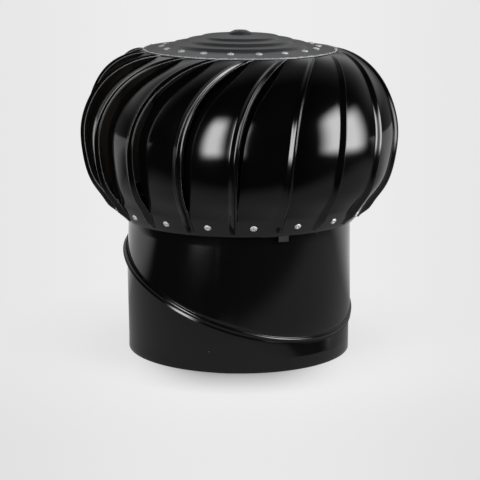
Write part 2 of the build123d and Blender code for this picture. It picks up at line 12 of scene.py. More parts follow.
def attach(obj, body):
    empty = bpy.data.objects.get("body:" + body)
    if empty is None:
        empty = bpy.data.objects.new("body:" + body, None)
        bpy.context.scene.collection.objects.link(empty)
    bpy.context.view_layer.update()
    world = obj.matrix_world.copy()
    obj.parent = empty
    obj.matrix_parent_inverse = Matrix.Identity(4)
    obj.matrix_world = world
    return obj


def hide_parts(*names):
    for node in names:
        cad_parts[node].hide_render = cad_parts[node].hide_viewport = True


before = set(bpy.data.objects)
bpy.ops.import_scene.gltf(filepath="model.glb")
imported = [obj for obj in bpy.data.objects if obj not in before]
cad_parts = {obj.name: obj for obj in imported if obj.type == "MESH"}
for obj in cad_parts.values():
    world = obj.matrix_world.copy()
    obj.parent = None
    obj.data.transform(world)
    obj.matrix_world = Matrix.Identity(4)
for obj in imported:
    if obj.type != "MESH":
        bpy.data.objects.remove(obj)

LOG = logging.getLogger("ventilator")
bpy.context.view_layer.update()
MM = 0.001
Point = tuple[float, float]
Place = tuple[float, float, float]


# ---------------------------------------------------------------- numbers and meshes


def around(angle: float) -> np.ndarray:
    """Gives the unit vector from the axis towards an angle.

    Args:
        angle: degrees from the front (-Y) towards the right (+X).

    Returns:
        The level unit vector.
    """
    return np.array([math.sin(math.radians(angle)), -math.cos(math.radians(angle)), 0.0])


def smooth_step(low: float, high: float, value: np.ndarray) -> np.ndarray:
    """Climbs smoothly from 0 at low to 1 at high.

    Args:
        low: value at which the step starts.
        high: value at which the step ends.
        value: numbers to place on the step.

    Returns:
        The heights on the step.
    """
    share = np.clip((np.asarray(value, float) - low) / (high - low), 0.0, 1.0)
    return share * share * (3.0 - 2.0 * share)


def linear_colour(hexadecimal: str) -> tuple[float, float, float, float]:
    """Turns an sRGB hex colour into the linear colour that shaders use.

    Args:
        hexadecimal: colour such as "#1a2b3c".

    Returns:
        Linear red, green, blue and alpha.
    """
    parts = [int(hexadecimal[start : start + 2], 16) / 255.0 for start in (1, 3, 5)]
    linear = [p / 12.92 if p <= 0.04045 else ((p + 0.055) / 1.055) ** 2.4 for p in parts]
    return linear[0], linear[1], linear[2], 1.0


def rounded_outline(corners: list[Point], radii: list[float], steps: int = 5) -> np.ndarray:
    """Rounds the corners of a closed outline with arcs.

    Args:
        corners: the outline's corners in order.
        radii: the rounding wanted at each corner; it is cut down where the sides are short.
        steps: points along each arc.

    Returns:
        The rounded outline, one row a point.
    """
    points: list[np.ndarray] = []
    count = len(corners)
    for index in range(count):
        here = np.array(corners[index], float)
        back = np.array(corners[index - 1], float) - here
        ahead = np.array(corners[(index + 1) % count], float) - here
        back_length = float(np.linalg.norm(back))
        ahead_length = float(np.linalg.norm(ahead))
        back /= back_length
        ahead /= ahead_length
        half = math.acos(float(np.clip(np.dot(back, ahead), -1.0, 1.0))) / 2
        if radii[index] <= 0 or half > math.radians(89.5):
            points.append(here)
            continue
        reach = min(radii[index] / math.tan(half), 0.45 * back_length, 0.45 * ahead_length)
        start = here + back * reach
        end = here + ahead * reach
        for step in range(steps + 1):
            share = step / steps
            points.append((1 - share) ** 2 * start + 2 * share * (1 - share) * here + share**2 * end)
    return np.array(points)


def clamped_spline(points: list[Point], start: Point, end: Point, samples: int = 160) -> np.ndarray:
    """Runs a smooth cubic curve through points with set end directions.

    Args:
        points: the points that it passes through.
        start: direction at the first point.
        end: direction at the last point.
        samples: points along each span.

    Returns:
        Closely spaced points on the curve.
    """
    knots = np.array(points, float)
    count = len(knots)
    spans = np.linalg.norm(np.diff(knots, axis=0), axis=1)
    system = np.zeros((count, count))
    right = np.zeros((count, 2))
    system[0, 0] = system[-1, -1] = 1.0
    right[0] = np.array(start) / math.hypot(*start)
    right[-1] = np.array(end) / math.hypot(*end)
    for index in range(1, count - 1):
        before, after = spans[index - 1], spans[index]
        system[index, index - 1 : index + 2] = (after, 2 * (before + after), before)
        rise_before = (knots[index] - knots[index - 1]) / before
        rise_after = (knots[index + 1] - knots[index]) / after
        right[index] = 3 * (after * rise_before + before * rise_after)
    slopes = np.linalg.solve(system, right)
    pieces = []
    for index in range(count - 1):
        t = np.linspace(0, 1, samples, endpoint=index == count - 2)[:, None]
        pieces.append(
            (2 * t**3 - 3 * t**2 + 1) * knots[index]
            + (t**3 - 2 * t**2 + t) * spans[index] * slopes[index]
            + (3 * t**2 - 2 * t**3) * knots[index + 1]
            + (t**3 - t**2) * spans[index] * slopes[index + 1]
        )
    return np.vstack(pieces)


def new_object(
    name: str, points: np.ndarray, faces: list[tuple[int, ...]], sharp: float
) -> bpy.types.Object:
    """Makes a smooth-shaded mesh object from points in millimetres.

    Args:
        name: the object's name.
        points: corner points, one row each, in millimetres.
        faces: corner numbers of each face, turning outwards.
        sharp: angle in degrees past which an edge stays sharp.

    Returns:
        The object, at the origin.
    """
    mesh = bpy.data.meshes.new(name)
    mesh.from_pydata((np.asarray(points, float) * MM).tolist(), [], faces)
    mesh.update()
    mesh.shade_smooth()
    mesh.set_sharp_from_angle(angle=math.radians(sharp))
    made = bpy.data.objects.new(name, mesh)
    bpy.context.scene.collection.objects.link(made)
    return made


def loop_faces(
    rows: int, columns: int, close_rows: bool, close_columns: bool = True
) -> list[tuple[int, ...]]:
    """Joins rows of points into quads.

    Args:
        rows: number of rows.
        columns: points in each row.
        close_rows: whether the last row joins the first.
        close_columns: whether each row is a ring.

    Returns:
        The faces, which turn outwards where the rings go anticlockwise seen from above and the
        rows climb the outer side.
    """
    faces: list[tuple[int, ...]] = []
    for row in range(rows if close_rows else rows - 1):
        above = (row + 1) % rows
        for column in range(columns if close_columns else columns - 1):
            beside = (column + 1) % columns
            here, there = row * columns, above * columns
            faces.append((here + column, here + beside, there + beside, there + column))
    return faces


def lathe(
    name: str, outline: np.ndarray, columns: int, close_rows: bool, sharp: float = 35.0
) -> bpy.types.Object:
    """Turns an outline about the upright axis.

    Args:
        name: the object's name.
        outline: radius and height of each point, climbing the outer side.
        columns: steps around.
        close_rows: whether the outline is a closed loop; otherwise each end is closed to the axis.
        sharp: angle in degrees past which an edge stays sharp.

    Returns:
        The turned object.
    """
    angles = np.linspace(0, 2 * np.pi, columns, endpoint=False)
    rings = np.stack(
        [
            outline[:, 0][:, None] * np.cos(angles),
            outline[:, 0][:, None] * np.sin(angles),
            np.repeat(outline[:, 1][:, None], columns, axis=1),
        ],
        axis=-1,
    ).reshape(-1, 3)
    faces = loop_faces(len(outline), columns, close_rows)
    if not close_rows:
        bottom = len(rings)
        rings = np.vstack([rings, [0, 0, outline[0, 1]], [0, 0, outline[-1, 1]]])
        last = (len(outline) - 1) * columns
        for column in range(columns):
            beside = (column + 1) % columns
            faces.append((bottom, beside, column))
            faces.append((bottom + 1, last + column, last + beside))
    return new_object(name, rings, faces, sharp)


# ---------------------------------------------------------------- nodes


def add_node(
    tree: bpy.types.NodeTree, kind: str, inputs: dict[int | str, object] | None = None, **settings: object
) -> bpy.types.Node:
    """Adds one node with its settings, values and links.

    Args:
        tree: node tree that gets it.
        kind: Blender's name for the node.
        inputs: by input name or number, a plain value, a socket to link from, or a node to link
            from by the first of its outputs that is in use.
        settings: the node's own properties.

    Returns:
        The node.
    """
    node = tree.nodes.new(kind)
    for key, value in settings.items():
        setattr(node, key, value)
    for key, value in (inputs or {}).items():
        if isinstance(value, bpy.types.Node):
            value = next(output for output in value.outputs if output.enabled)
        if isinstance(value, bpy.types.NodeSocket):
            tree.links.new(value, node.inputs[key])
        else:
            node.inputs[key].default_value = value
    return node


def ranged(value: object, span: Point, levels: Point) -> dict[str, object]:
    """Gives the inputs that map one range of values to another.

    Args:
        value: the node or socket that is followed.
        span: the values between which the result changes.
        levels: the result at each end.

    Returns:
        Values by input name.
    """
    names = ("Value", "From Min", "From Max", "To Min", "To Max")
    return dict(zip(names, (value, *span, *levels)))


def new_group(name: str, inputs: dict[str, str]) -> tuple[bpy.types.NodeTree, bpy.types.Node]:
    """Starts a geometry node tree.

    Args:
        name: the tree's name.
        inputs: kind of each named input.

    Returns:
        The tree and the node that holds its inputs.
    """
    tree = bpy.data.node_groups.new(name, "GeometryNodeTree")
    for label, kind in inputs.items():
        tree.interface.new_socket(label, in_out="INPUT", socket_type=f"NodeSocket{kind}")
    tree.interface.new_socket("Geometry", in_out="OUTPUT", socket_type="NodeSocketGeometry")
    return tree, add_node(tree, "NodeGroupInput")


def settle(piece: bpy.types.Object) -> None:
    """Turns an object's modifiers into its mesh.

    Args:
        piece: object whose modifiers are applied and removed.
    """
    bpy.context.view_layer.update()
    graph = bpy.context.evaluated_depsgraph_get()
    mesh = bpy.data.meshes.new_from_object(piece.evaluated_get(graph))
    piece.modifiers.clear()
    piece.data = mesh


def grow(name: str, tree: bpy.types.NodeTree, values: dict[str, object]) -> bpy.types.Object:
    """Runs a geometry node tree and keeps its result as a plain mesh.

    Args:
        name: the new object's name.
        tree: the node tree.
        values: value of each named input.

    Returns:
        The object, at the origin and with no modifier.
    """
    made = bpy.data.objects.new(name, bpy.data.meshes.new(name))
    bpy.context.scene.collection.objects.link(made)
    nodes = made.modifiers.new("nodes", "NODES")
    nodes.node_group = tree
    for item in tree.interface.items_tree:
        if item.item_type == "SOCKET" and item.in_out == "INPUT":
            nodes[item.identifier] = values[item.name]
    settle(made)
    made.data.name = name
    return made


# ---------------------------------------------------------------- finishes


def new_material(name: str) -> tuple[bpy.types.Material, bpy.types.NodeTree, bpy.types.Node]:
    """Starts a node material.

    Args:
        name: the material's name.

    Returns:
        The material, its empty tree and its output node.
    """
    material = bpy.data.materials.new(name)
    material.use_nodes = True
    tree = material.node_tree
    tree.nodes.clear()
    return material, tree, add_node(tree, "ShaderNodeOutputMaterial")


class Grain(Enum):
    """How a bare metal's surface was left by its making."""

    STAMPED = "stamped"
    PLATED = "plated"
    TURNED = "turned"
    SINTERED = "sintered"


@dataclass(frozen=True)
class PaintedSheet:
    """Roll-coated or stoved paint on thin steel sheet.

    The paint film is a dielectric over black or grey pigment. It shows a soft orange peel a few
    millimetres wide and slight changes of gloss where hands and rollers touched it. Widths,
    heights and radii are in millimetres.
    """

    name: str
    colour: str
    worn_colour: str
    roughness: float
    roughness_spread: float = 0.05
    peel_width: float = 3.0
    peel_height: float = 0.006
    cloud_width: float = 45.0
    cloud_range: Point = (0.3, 0.7)
    speck_width: float = 1.6
    speck_range: Point = (0.62, 0.80)
    dust: float = 0.12
    # Pale flecks along a rim: chips from handling, and a painted highlight along the rim's edge
    chip_and_highlight_radius: float = 0.0
    chip_and_highlight_width: float = 6.0
    chip_and_highlight_levels: Point = (0.2, 0.72)
    fleck_width: float = 4.0
    bare_and_highlight_colour: str = "#c9cacc"

    def build(self) -> bpy.types.Material:
        """Builds the node material.

        Returns:
            The material.
        """
        material, tree, output = new_material(self.name)
        place = add_node(tree, "ShaderNodeTexCoord").outputs["Object"]
        patterns = ((self.cloud_width, 3.0), (self.speck_width, 2.0), (self.peel_width, 1.0))
        clouds, specks, peel = (
            add_node(
                tree, "ShaderNodeTexNoise", {"Vector": place, "Scale": 1 / (width * MM), "Detail": detail}
            )
            for width, detail in patterns
        )
        # Dust and light handling marks: sparse paler specks, 1.6 mm across, gathered in the high
        # places of clouds 45 mm across. Real dust is finer: it is drawn coarser, so that it shows
        dusty = add_node(tree, "ShaderNodeMapRange", ranged(specks, self.speck_range, (0.0, self.dust)))
        gathered = add_node(tree, "ShaderNodeMath", {0: dusty, 1: clouds}, operation="MULTIPLY")
        shades = {"A": linear_colour(self.colour), "B": linear_colour(self.worn_colour)}
        colour = add_node(tree, "ShaderNodeMix", {"Factor": gathered, **shades}, data_type="RGBA")
        # Near the rim the colour turns pale in flecks: chips, and a painted highlight of the rim's bright
        # edge
        if self.chip_and_highlight_radius > 0.0:
            colour = self.chips_and_painted_highlight(tree, place, colour)
        levels = (self.roughness - self.roughness_spread, self.roughness + self.roughness_spread)
        gloss = add_node(tree, "ShaderNodeMapRange", ranged(clouds, self.cloud_range, levels))
        relief = {"Height": peel, "Strength": 1.0, "Distance": self.peel_height * MM}
        bump = add_node(tree, "ShaderNodeBump", relief)
        film = {"Base Color": colour, "Roughness": gloss, "Normal": bump, "IOR": 1.5}
        shader = add_node(tree, "ShaderNodeBsdfPrincipled", film)
        tree.links.new(shader.outputs["BSDF"], output.inputs["Surface"])
        return material

    def chips_and_painted_highlight(
        self, tree: bpy.types.NodeTree, place: bpy.types.NodeSocket, colour: bpy.types.Node
    ) -> bpy.types.Node:
        """Adds pale flecks along a rim: chips where handling knocked the paint off the zinc, and a painted
        highlight, the rim's bright line of light.

        Args:
            tree: the node tree.
            place: the object coordinates.
            colour: the paint's colour.

        Returns:
            The colour with the chips in it.
        """
        flat = add_node(tree, "ShaderNodeVectorMath", {0: place, 1: (1.0, 1.0, 0.0)}, operation="MULTIPLY")
        radius = add_node(tree, "ShaderNodeVectorMath", {0: flat}, operation="LENGTH")
        rim = ((self.chip_and_highlight_radius - self.chip_and_highlight_width) * MM, self.chip_and_highlight_radius * MM)
        near = add_node(tree, "ShaderNodeMapRange", ranged(radius, rim, self.chip_and_highlight_levels))
        # Real chips are under a millimetre across: the flecks, chips and painted highlight, are drawn 4 mm
        # across, so that they show
        pattern = {"Vector": place, "Scale": 1 / (self.fleck_width * MM), "Detail": 4.0}
        flecks = add_node(tree, "ShaderNodeTexNoise", pattern)
        # Painted highlight and chips: where the noise is under the rim's level, the paint is drawn pale
        chip_and_highlight_mask = add_node(tree, "ShaderNodeMath", {0: flecks, 1: near}, operation="LESS_THAN")
        shades = {"A": colour, "B": linear_colour(self.bare_and_highlight_colour)}
        return add_node(tree, "ShaderNodeMix", {"Factor": chip_and_highlight_mask, **shades}, data_type="RGBA")


@dataclass(frozen=True)
class BareMetal:
    """Uncoated or plated metal, with the grain that its making left, in millimetres."""

    name: str
    colour: str
    shade: str
    roughness: float
    grain: Grain
    grain_width: float
    grain_height: float = 0.01
    metallic: float = 1.0
    roughness_spread: float = 0.08
    ring_stretch: float = 0.08

    def build(self) -> bpy.types.Material:
        """Builds the node material.

        Returns:
            The material.
        """
        material, tree, output = new_material(self.name)
        place = add_node(tree, "ShaderNodeTexCoord").outputs["Object"]
        pattern = {"Vector": place, "Scale": 1 / (self.grain_width * MM)}
        if self.grain is Grain.TURNED:
            # Turning and drawing leave fine rings about the upright axis
            stretch = {"Vector": place, "Scale": (self.ring_stretch, self.ring_stretch, 1.0)}
            pattern |= {"Vector": add_node(tree, "ShaderNodeMapping", stretch), "Detail": 3.0}
            level = add_node(tree, "ShaderNodeTexNoise", pattern)
        elif self.grain is Grain.PLATED:
            # Passivated zinc dries in faint cells with a softer gloss
            level = add_node(tree, "ShaderNodeTexVoronoi", pattern)
        else:
            detail = 6.0 if self.grain is Grain.SINTERED else 2.0
            level = add_node(tree, "ShaderNodeTexNoise", {**pattern, "Detail": detail})
        shades = {"A": linear_colour(self.shade), "B": linear_colour(self.colour)}
        colour = add_node(tree, "ShaderNodeMix", {"Factor": level, **shades}, data_type="RGBA")
        levels = (self.roughness + self.roughness_spread, self.roughness - self.roughness_spread)
        gloss = add_node(tree, "ShaderNodeMapRange", ranged(level, (0.0, 1.0), levels))
        relief = {"Height": level, "Strength": 0.8, "Distance": self.grain_height * MM}
        bump = add_node(tree, "ShaderNodeBump", relief)
        metal = {"Base Color": colour, "Metallic": self.metallic, "Roughness": gloss, "Normal": bump}
        shader = add_node(tree, "ShaderNodeBsdfPrincipled", metal)
        tree.links.new(shader.outputs["BSDF"], output.inputs["Surface"])
        return material


def finish(kind: PaintedSheet | BareMetal) -> object:
    """Declares a finish that is built with the set that it belongs to.

    Args:
        kind: the finish's recipe.

    Returns:
        The dataclass field.
    """
    return field(default_factory=kind.build)


@dataclass
class Finishes:
    """Every finish on the ventilator, built once and shared by the pieces."""

    # Stoved gloss polyester on the blades and the rotor's rings: deep black with a wet shine, and
    # an orange peel 5 mm across and 0.004 mm high
    gloss_black: bpy.types.Material = finish(
        PaintedSheet(
            "gloss_black_enamel", "#030303", "#2a2a2b", 0.115, 0.02,
            peel_width=5.0, peel_height=0.004, dust=0.04,
        )
    )
    # Coil-coated black on the two throat tubes: as smooth as the blades, with a finer peel, 3 mm
    # across and 0.005 mm high, and more dust
    satin_black: bpy.types.Material = finish(
        PaintedSheet("satin_black_coil_coat", "#060606", "#2e2e2f", 0.115, 0.02, peel_height=0.005, dust=0.06)
    )
    # Powder coat on the pressed cap: dark grey, its peel 2.4 mm across and 0.008 mm high, with pale flecks
    # over the last 6 mm of its rim: chips from handling, and a painted highlight, the rim's bright line
    satin_grey: bpy.types.Material = finish(
        PaintedSheet(
            "satin_grey_powder_coat", "#27282a", "#5a5b5e", 0.32,
            peel_width=2.4, peel_height=0.008, dust=0.3, chip_and_highlight_radius=129.5,
        )
    )
    # Backing wash coat on the blades' inner faces: thin warm grey primer, nearly matt, its grain
    # 2 mm across and 0.01 mm high
    backing: bpy.types.Material = finish(
        PaintedSheet(
            "warm_grey_backing_coat", "#2e2a25", "#57524a", 0.5, 0.06,
            peel_width=2.0, peel_height=0.01, dust=0.4,
        )
    )
    # Wet electro-coat on the rotor's strap arms, its peel 3 mm across
    strap_black: bpy.types.Material = finish(PaintedSheet("black_electro_coat", "#0b0b0c", "#303032", 0.4))
    # Sheared edge of painted sheet: the paint thins there and the zinc under it shows through, with
    # shear marks 1.2 mm apart
    cut_edge: bpy.types.Material = finish(
        BareMetal("sheared_zinc_edge", "#8d8f92", "#4c4d4f", 0.5, Grain.STAMPED, 1.2, metallic=0.6)
    )
    # Aluminium blind rivets: stamped heads under a dull oxide skin, its grain 0.9 mm across
    aluminium: bpy.types.Material = finish(
        BareMetal("stamped_aluminium", "#c6c7c9", "#9b9c9e", 0.55, Grain.STAMPED, 0.9, metallic=0.35)
    )
    # Black passivated zinc on the shaft, braces, nuts, collars and small rivets, its dark colour partly
    # painted shade for the dim inside of the throat and head. Its cells are about 1 mm across: they are
    # drawn 4 mm across, so that they show
    black_zinc_and_painted_shade: bpy.types.Material = finish(
        BareMetal("black_zinc_with_painted_shade", "#2c2d2f", "#17181a", 0.4, Grain.PLATED, 4.0)
    )
    # Sintered bronze bush, dull with open pores. They are under 0.1 mm across: they are drawn
    # 0.6 mm across, so that they show
    bronze: bpy.types.Material = finish(
        BareMetal("sintered_bronze", "#a57a45", "#6d4c28", 0.5, Grain.SINTERED, 0.6)
    )
    # Ground bearing steel with a bright shine. Its rings are a few hundredths of a millimetre apart:
    # they are drawn 0.5 mm apart, so that they show
    bearing: bpy.types.Material = finish(
        BareMetal("ground_bearing_steel", "#c9cbce", "#9c9ea2", 0.22, Grain.TURNED, 0.5)
    )


# ---------------------------------------------------------------- sub-assemblies


@dataclass
class Seam:
    """The sloping plane in which the upper throat turns on the lower one."""

    height: float = 98.0
    tilt: float = 22.5
    low_angle: float = 49.0
    radius: float = 157.9
    roll_centre: float = 158.8
    roll_radius: float = 1.5
    hem_inner: float = 1.85
    hem_outer: float = 2.65
    hem_start: float = -50.0
    lip_reach: float = 1.8
    lip_drop: float = 2.9

    def axes(self) -> tuple[np.ndarray, np.ndarray, np.ndarray]:
        """Gives the plane's own directions.

        Returns:
            The level direction across the slope, the direction up the slope and the normal.
        """
        tilt = math.radians(self.tilt)
        across = around(self.low_angle + 90)
        normal = around(self.low_angle) * math.sin(tilt) + np.array([0, 0, math.cos(tilt)])
        return across, np.cross(normal, across), normal

    def ring(self, radius: float, height: float, turns: np.ndarray) -> np.ndarray:
        """Gives points on a circle parallel to the seam.

        Args:
            radius: the circle's radius.
            height: its distance along the normal from the seam plane.
            turns: angles in radians from the level direction.

        Returns:
            The points.
        """
        across, upslope, normal = self.axes()
        centre = np.array([0, 0, self.height]) + normal * height
        return centre + radius * (np.outer(np.cos(turns), across) + np.outer(np.sin(turns), upslope))

    def arc(self, radius: float, angles: np.ndarray) -> list[Point]:
        """Gives points of a section round the middle of the roll.

        Args:
            radius: distance from the roll's middle.
            angles: degrees from the outward direction, upwards.

        Returns:
            Radius and height of each point from the seam's axis and plane.
        """
        turns = np.radians(angles)
        return [(self.roll_centre + radius * math.cos(turn), radius * math.sin(turn)) for turn in turns]


@dataclass
class Throat:
    """Shared sizes and row making of the two throat tubes."""

    finishes: Finishes
    seam: Seam = field(default_factory=Seam)
    radius: float = 150.0
    sheet: float = 0.8
    columns: int = 320
    sharp: float = 40.0
    lap_angle: float = -10.5
    lap_rise: float = 0.55
    lap_width: float = 24.0
    lap_edge: float = 0.25
    lap_flat: float = 0.6
    lap_fade: int = 4

    def turns(self) -> np.ndarray:
        """Gives the angles of the columns.

        Returns:
            Angles in radians.
        """
        return np.linspace(0, 2 * np.pi, self.columns, endpoint=False)

    def level_ring(self, radius: float, height: float) -> np.ndarray:
        """Gives points on a level circle, its columns in line with the seam's.

        Args:
            radius: the circle's radius.
            height: its height.

        Returns:
            The points.
        """
        start = around(self.seam.low_angle + 90)
        side = np.array([-start[1], start[0], 0])
        circle = np.outer(np.cos(self.turns()), start) + np.outer(np.sin(self.turns()), side)
        return radius * circle + np.array([0, 0, height])

    def lap(self, ring: np.ndarray, strength: float) -> np.ndarray:
        """Raises the outer skin where one end of the sheet lies over the other.

        Args:
            ring: points of one row.
            strength: 0 for no step, 1 for the whole step.

        Returns:
            The moved points.
        """
        angles = np.degrees(np.arctan2(ring[:, 0], -ring[:, 1]))
        offset = (angles - self.lap_angle + 180) % 360 - 180
        width = math.degrees(self.lap_width / self.radius)
        fall = smooth_step(self.lap_flat * width, width, offset)
        rise = smooth_step(-self.lap_edge, 0.0, offset) * (1 - fall)
        outwards = ring.copy()
        outwards[:, 2] = 0
        outwards /= np.linalg.norm(outwards, axis=1)[:, None]
        return ring + outwards * (rise * strength * self.lap_rise)[:, None]

    def lapped(self, rows: list[np.ndarray], strengths: np.ndarray) -> list[np.ndarray]:
        """Raises the lap on several rows, each by its own strength.

        Args:
            rows: the rows of points.
            strengths: strength of the step in each.

        Returns:
            The moved rows.
        """
        return [self.lap(row, strength) for row, strength in zip(rows, strengths)]

    def tube(self, name: str, rows: list[np.ndarray]) -> bpy.types.Object:
        """Closes rows of points to a tube.

        Args:
            name: the object's name.
            rows: rows up the outer side and down the inner.

        Returns:
            The tube.
        """
        return new_object(name, np.vstack(rows), loop_faces(len(rows), self.columns, True), self.sharp)


@dataclass
class LowerThroat(Throat):
    """The tube that stands on the duct: collar, sloping gore and rolled edge."""

    foot_rows: tuple[Point, ...] = ((0.25, 0.0), (0.0, 0.35), (0.0, 6.0), (0.0, 11.0))
    collar: float = 16.0
    roll_drop: float = 1.2
    inner_drop: float = 0.4
    roll_from: float = -118.0
    hole_radius: float = 1.9
    hole_height: float = 31.0
    hole_angles: tuple[float, ...] = (-15.0, 105.0, 225.0)
    hole_sides: int = 28
    drill_length: float = 30.0

    def build(self) -> list[bpy.types.Object]:
        """Builds and dresses the tube.

        Returns:
            The finished pieces.
        """
        seam = self.seam
        inner = self.radius - self.sheet
        collar_top = self.level_ring(self.radius, self.collar)
        outer_low = [self.level_ring(self.radius - inset, height) for inset, height in self.foot_rows]
        outer_low.append(collar_top)
        seam_edge = seam.ring(seam.radius, -self.roll_drop, self.turns())
        gore = [collar_top + (seam_edge - collar_top) * share for share in np.linspace(0.06, 1.0, 26)]
        roll = seam.arc(seam.roll_radius, np.linspace(self.roll_from, 180, 22))
        inner_top = seam.ring(seam.radius - self.sheet, -self.inner_drop, self.turns())
        inner_low = self.level_ring(inner, self.collar)
        rows = self.lapped(outer_low, np.ones(len(outer_low)))
        rows += self.lapped(gore, 1 - np.linspace(0, 1.0, len(gore)) ** self.lap_fade)
        rows += [seam.ring(x, y, self.turns()) for x, y in roll]
        rows += [inner_top + (inner_low - inner_top) * share for share in np.linspace(0, 1.0, 20)]
        rows += [self.level_ring(inner, self.collar / 2), self.level_ring(inner, 0.0)]
        tube = self.tube("throat_tube_lower", rows)
        self.cut_holes(tube)
        tube.data.materials.append(self.finishes.satin_black)
        tube.data.materials.append(self.finishes.cut_edge)
        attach(tube, "lower_throat")
        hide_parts("lower_throat")
        return [tube]

    def cut_holes(self, tube: bpy.types.Object) -> None:
        """Drills the fixing holes through the wall.

        Args:
            tube: object that is cut.
        """
        count = self.hole_sides
        turns = np.linspace(0, 2 * np.pi, count, endpoint=False)
        faces = [tuple(reversed(face)) for face in loop_faces(2, count, False)]
        faces += [tuple(range(count)), tuple(range(2 * count - 1, count - 1, -1))]
        for angle in self.hole_angles:
            middle = around(angle) * self.radius + np.array([0, 0, self.hole_height])
            side = around(angle + 90)
            circle = self.hole_radius * (np.outer(np.cos(turns), side) + np.outer(np.sin(turns), [0, 0, 1.0]))
            reach = around(angle) * self.drill_length / 2
            ends = [circle + middle + reach, circle + middle - reach]
            drill = new_object("drill", np.vstack(ends), faces, 30.0)
            cut = tube.modifiers.new("hole", "BOOLEAN")
            cut.object = drill
            cut.operation = "DIFFERENCE"
            cut.solver = "EXACT"
            settle(tube)
            bpy.data.objects.remove(drill)


@dataclass
class UpperThroat(Throat):
    """The tube that turns in the seam and carries the shaft: hem, gore and neck."""

    straight_from: float = 170.0
    top: float = 194.0
    neck_heights: Point = (176.0, 185.0)
    edge_bevel: float = 0.3
    lip_bevel: float = 0.1
    lip_edge: float = 0.15
    lip_curve: tuple[Point, ...] = ((0.78, 0.7), (0.45, 0.38), (0.16, 0.12))
    lip_inside: Point = (0.5, 0.55)
    lip_thickness: float = 0.5
    hem_from: float = 8.0
    hem_to: float = 96.0
    hem_inner_to: float = 122.0
    shoulder: tuple[Point, ...] = ((158.15, 2.85), (157.98, 3.15), (157.9, 3.6))
    gore_start: float = 4.4

    def build(self) -> list[bpy.types.Object]:
        """Builds and dresses the tube.

        Returns:
            The finished pieces.
        """
        seam = self.seam
        reach, drop = seam.lip_reach, seam.lip_drop
        inner = self.radius - self.sheet
        turns = self.turns()
        start = np.array([seam.hem_start])
        ((neck_x, neck_y),) = seam.arc(seam.hem_outer, start)
        ((inner_x, inner_y),) = seam.arc(seam.hem_inner, start)
        outer = [
            (neck_x + reach - self.lip_bevel, neck_y - drop - self.lip_bevel),
            (neck_x + reach, neck_y - drop + self.lip_edge),
        ]
        outer += [(neck_x + out * reach, neck_y - down * drop) for out, down in self.lip_curve]
        outer += seam.arc(seam.hem_outer, np.linspace(seam.hem_start + self.hem_from, self.hem_to, 22))
        outer += self.shoulder
        gore_low = seam.ring(seam.radius, self.gore_start, turns)
        gore_top = self.level_ring(self.radius, self.straight_from)
        gore = [gore_low + (gore_top - gore_low) * share for share in np.linspace(0, 1.0, 30)]
        neck = [self.level_ring(self.radius, z) for z in (*self.neck_heights, self.top - self.edge_bevel)]
        inner_top = self.level_ring(inner, self.straight_from)
        inner_low = seam.ring(seam.radius - self.sheet, self.shoulder[-1][1], turns)
        inner_hem = seam.arc(seam.hem_inner, np.linspace(self.hem_inner_to, seam.hem_start, 20))
        out, down = self.lip_inside
        inner_hem.append((inner_x + out * reach, inner_y - down * drop))
        inner_hem.append((neck_x + reach - self.lip_thickness, neck_y - drop))
        rows = [seam.ring(x, y, turns) for x, y in outer]
        rows += self.lapped(gore, 1 - np.linspace(1.0, 0, len(gore)) ** self.lap_fade)
        rows += self.lapped(neck, np.ones(len(neck)))
        rows += [self.level_ring(self.radius - self.edge_bevel, self.top), self.level_ring(inner, self.top)]
        rows.append(inner_top)
        rows += [inner_top + (inner_low - inner_top) * share for share in np.linspace(0.05, 1.0, 20)]
        rows += [seam.ring(x, y, turns) for x, y in inner_hem]
        tube = self.tube("throat_tube_upper", rows)
        tube.data.materials.append(self.finishes.satin_black)
        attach(tube, "upper_throat")
        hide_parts("upper_throat")
        return [tube]


@dataclass
class Head:
    """Sizes that the rotor's blades, rings and cap share."""

    blades: int = 18
    rim_radius: float = 129.5
    rim_height: float = 405.0
    flange_slope: float = 0.118
    cap_sheet: float = 1.0
    blade_sheet: float = 0.8
    ring_sheet: float = 1.2
    film: float = 0.06
    ring_bottom: float = 181.5
    ring_top: float = 205.0
    ring_radius: float = 157.0
    ring_slope: float = 0.7

    @property
    def pitch(self) -> float:
        """Angle from one blade to the next.

        Returns:
            Degrees.
        """
        return 360.0 / self.blades

    @property
    def tab_depth(self) -> float:
        """Depth of the blades' tabs under the cap's flange.

        Returns:
            Millimetres down through the cap's sheet.
        """
        return self.cap_sheet + self.film

    @property
    def foot_lift(self) -> float:
        """Distance of the blades' outer face from the bottom ring.

        Returns:
            Millimetres out from the ring's outer face.
        """
        return self.film + self.blade_sheet

    def flange_point(self, radius: float, depth: float = 0.0) -> Point:
        """Gives a point on the cap's flange or a depth below it.

        Args:
            radius: distance from the axis.
            depth: distance down through the sheets.

        Returns:
            Radius and height.
        """
        climb = self.flange_slope * (self.rim_radius - radius)
        return radius, self.rim_height + climb - depth * math.hypot(1, self.flange_slope)

    def ring_point(self, height: float, outwards: float = 0.0) -> Point:
        """Gives a point on the bottom ring's outer face or a distance off it.

        Args:
            height: height of the point.
            outwards: distance out from the face.

        Returns:
            Radius and height.
        """
        radius = self.ring_radius + self.ring_slope * (height - self.ring_bottom)
        return radius + outwards * math.hypot(1, self.ring_slope), height


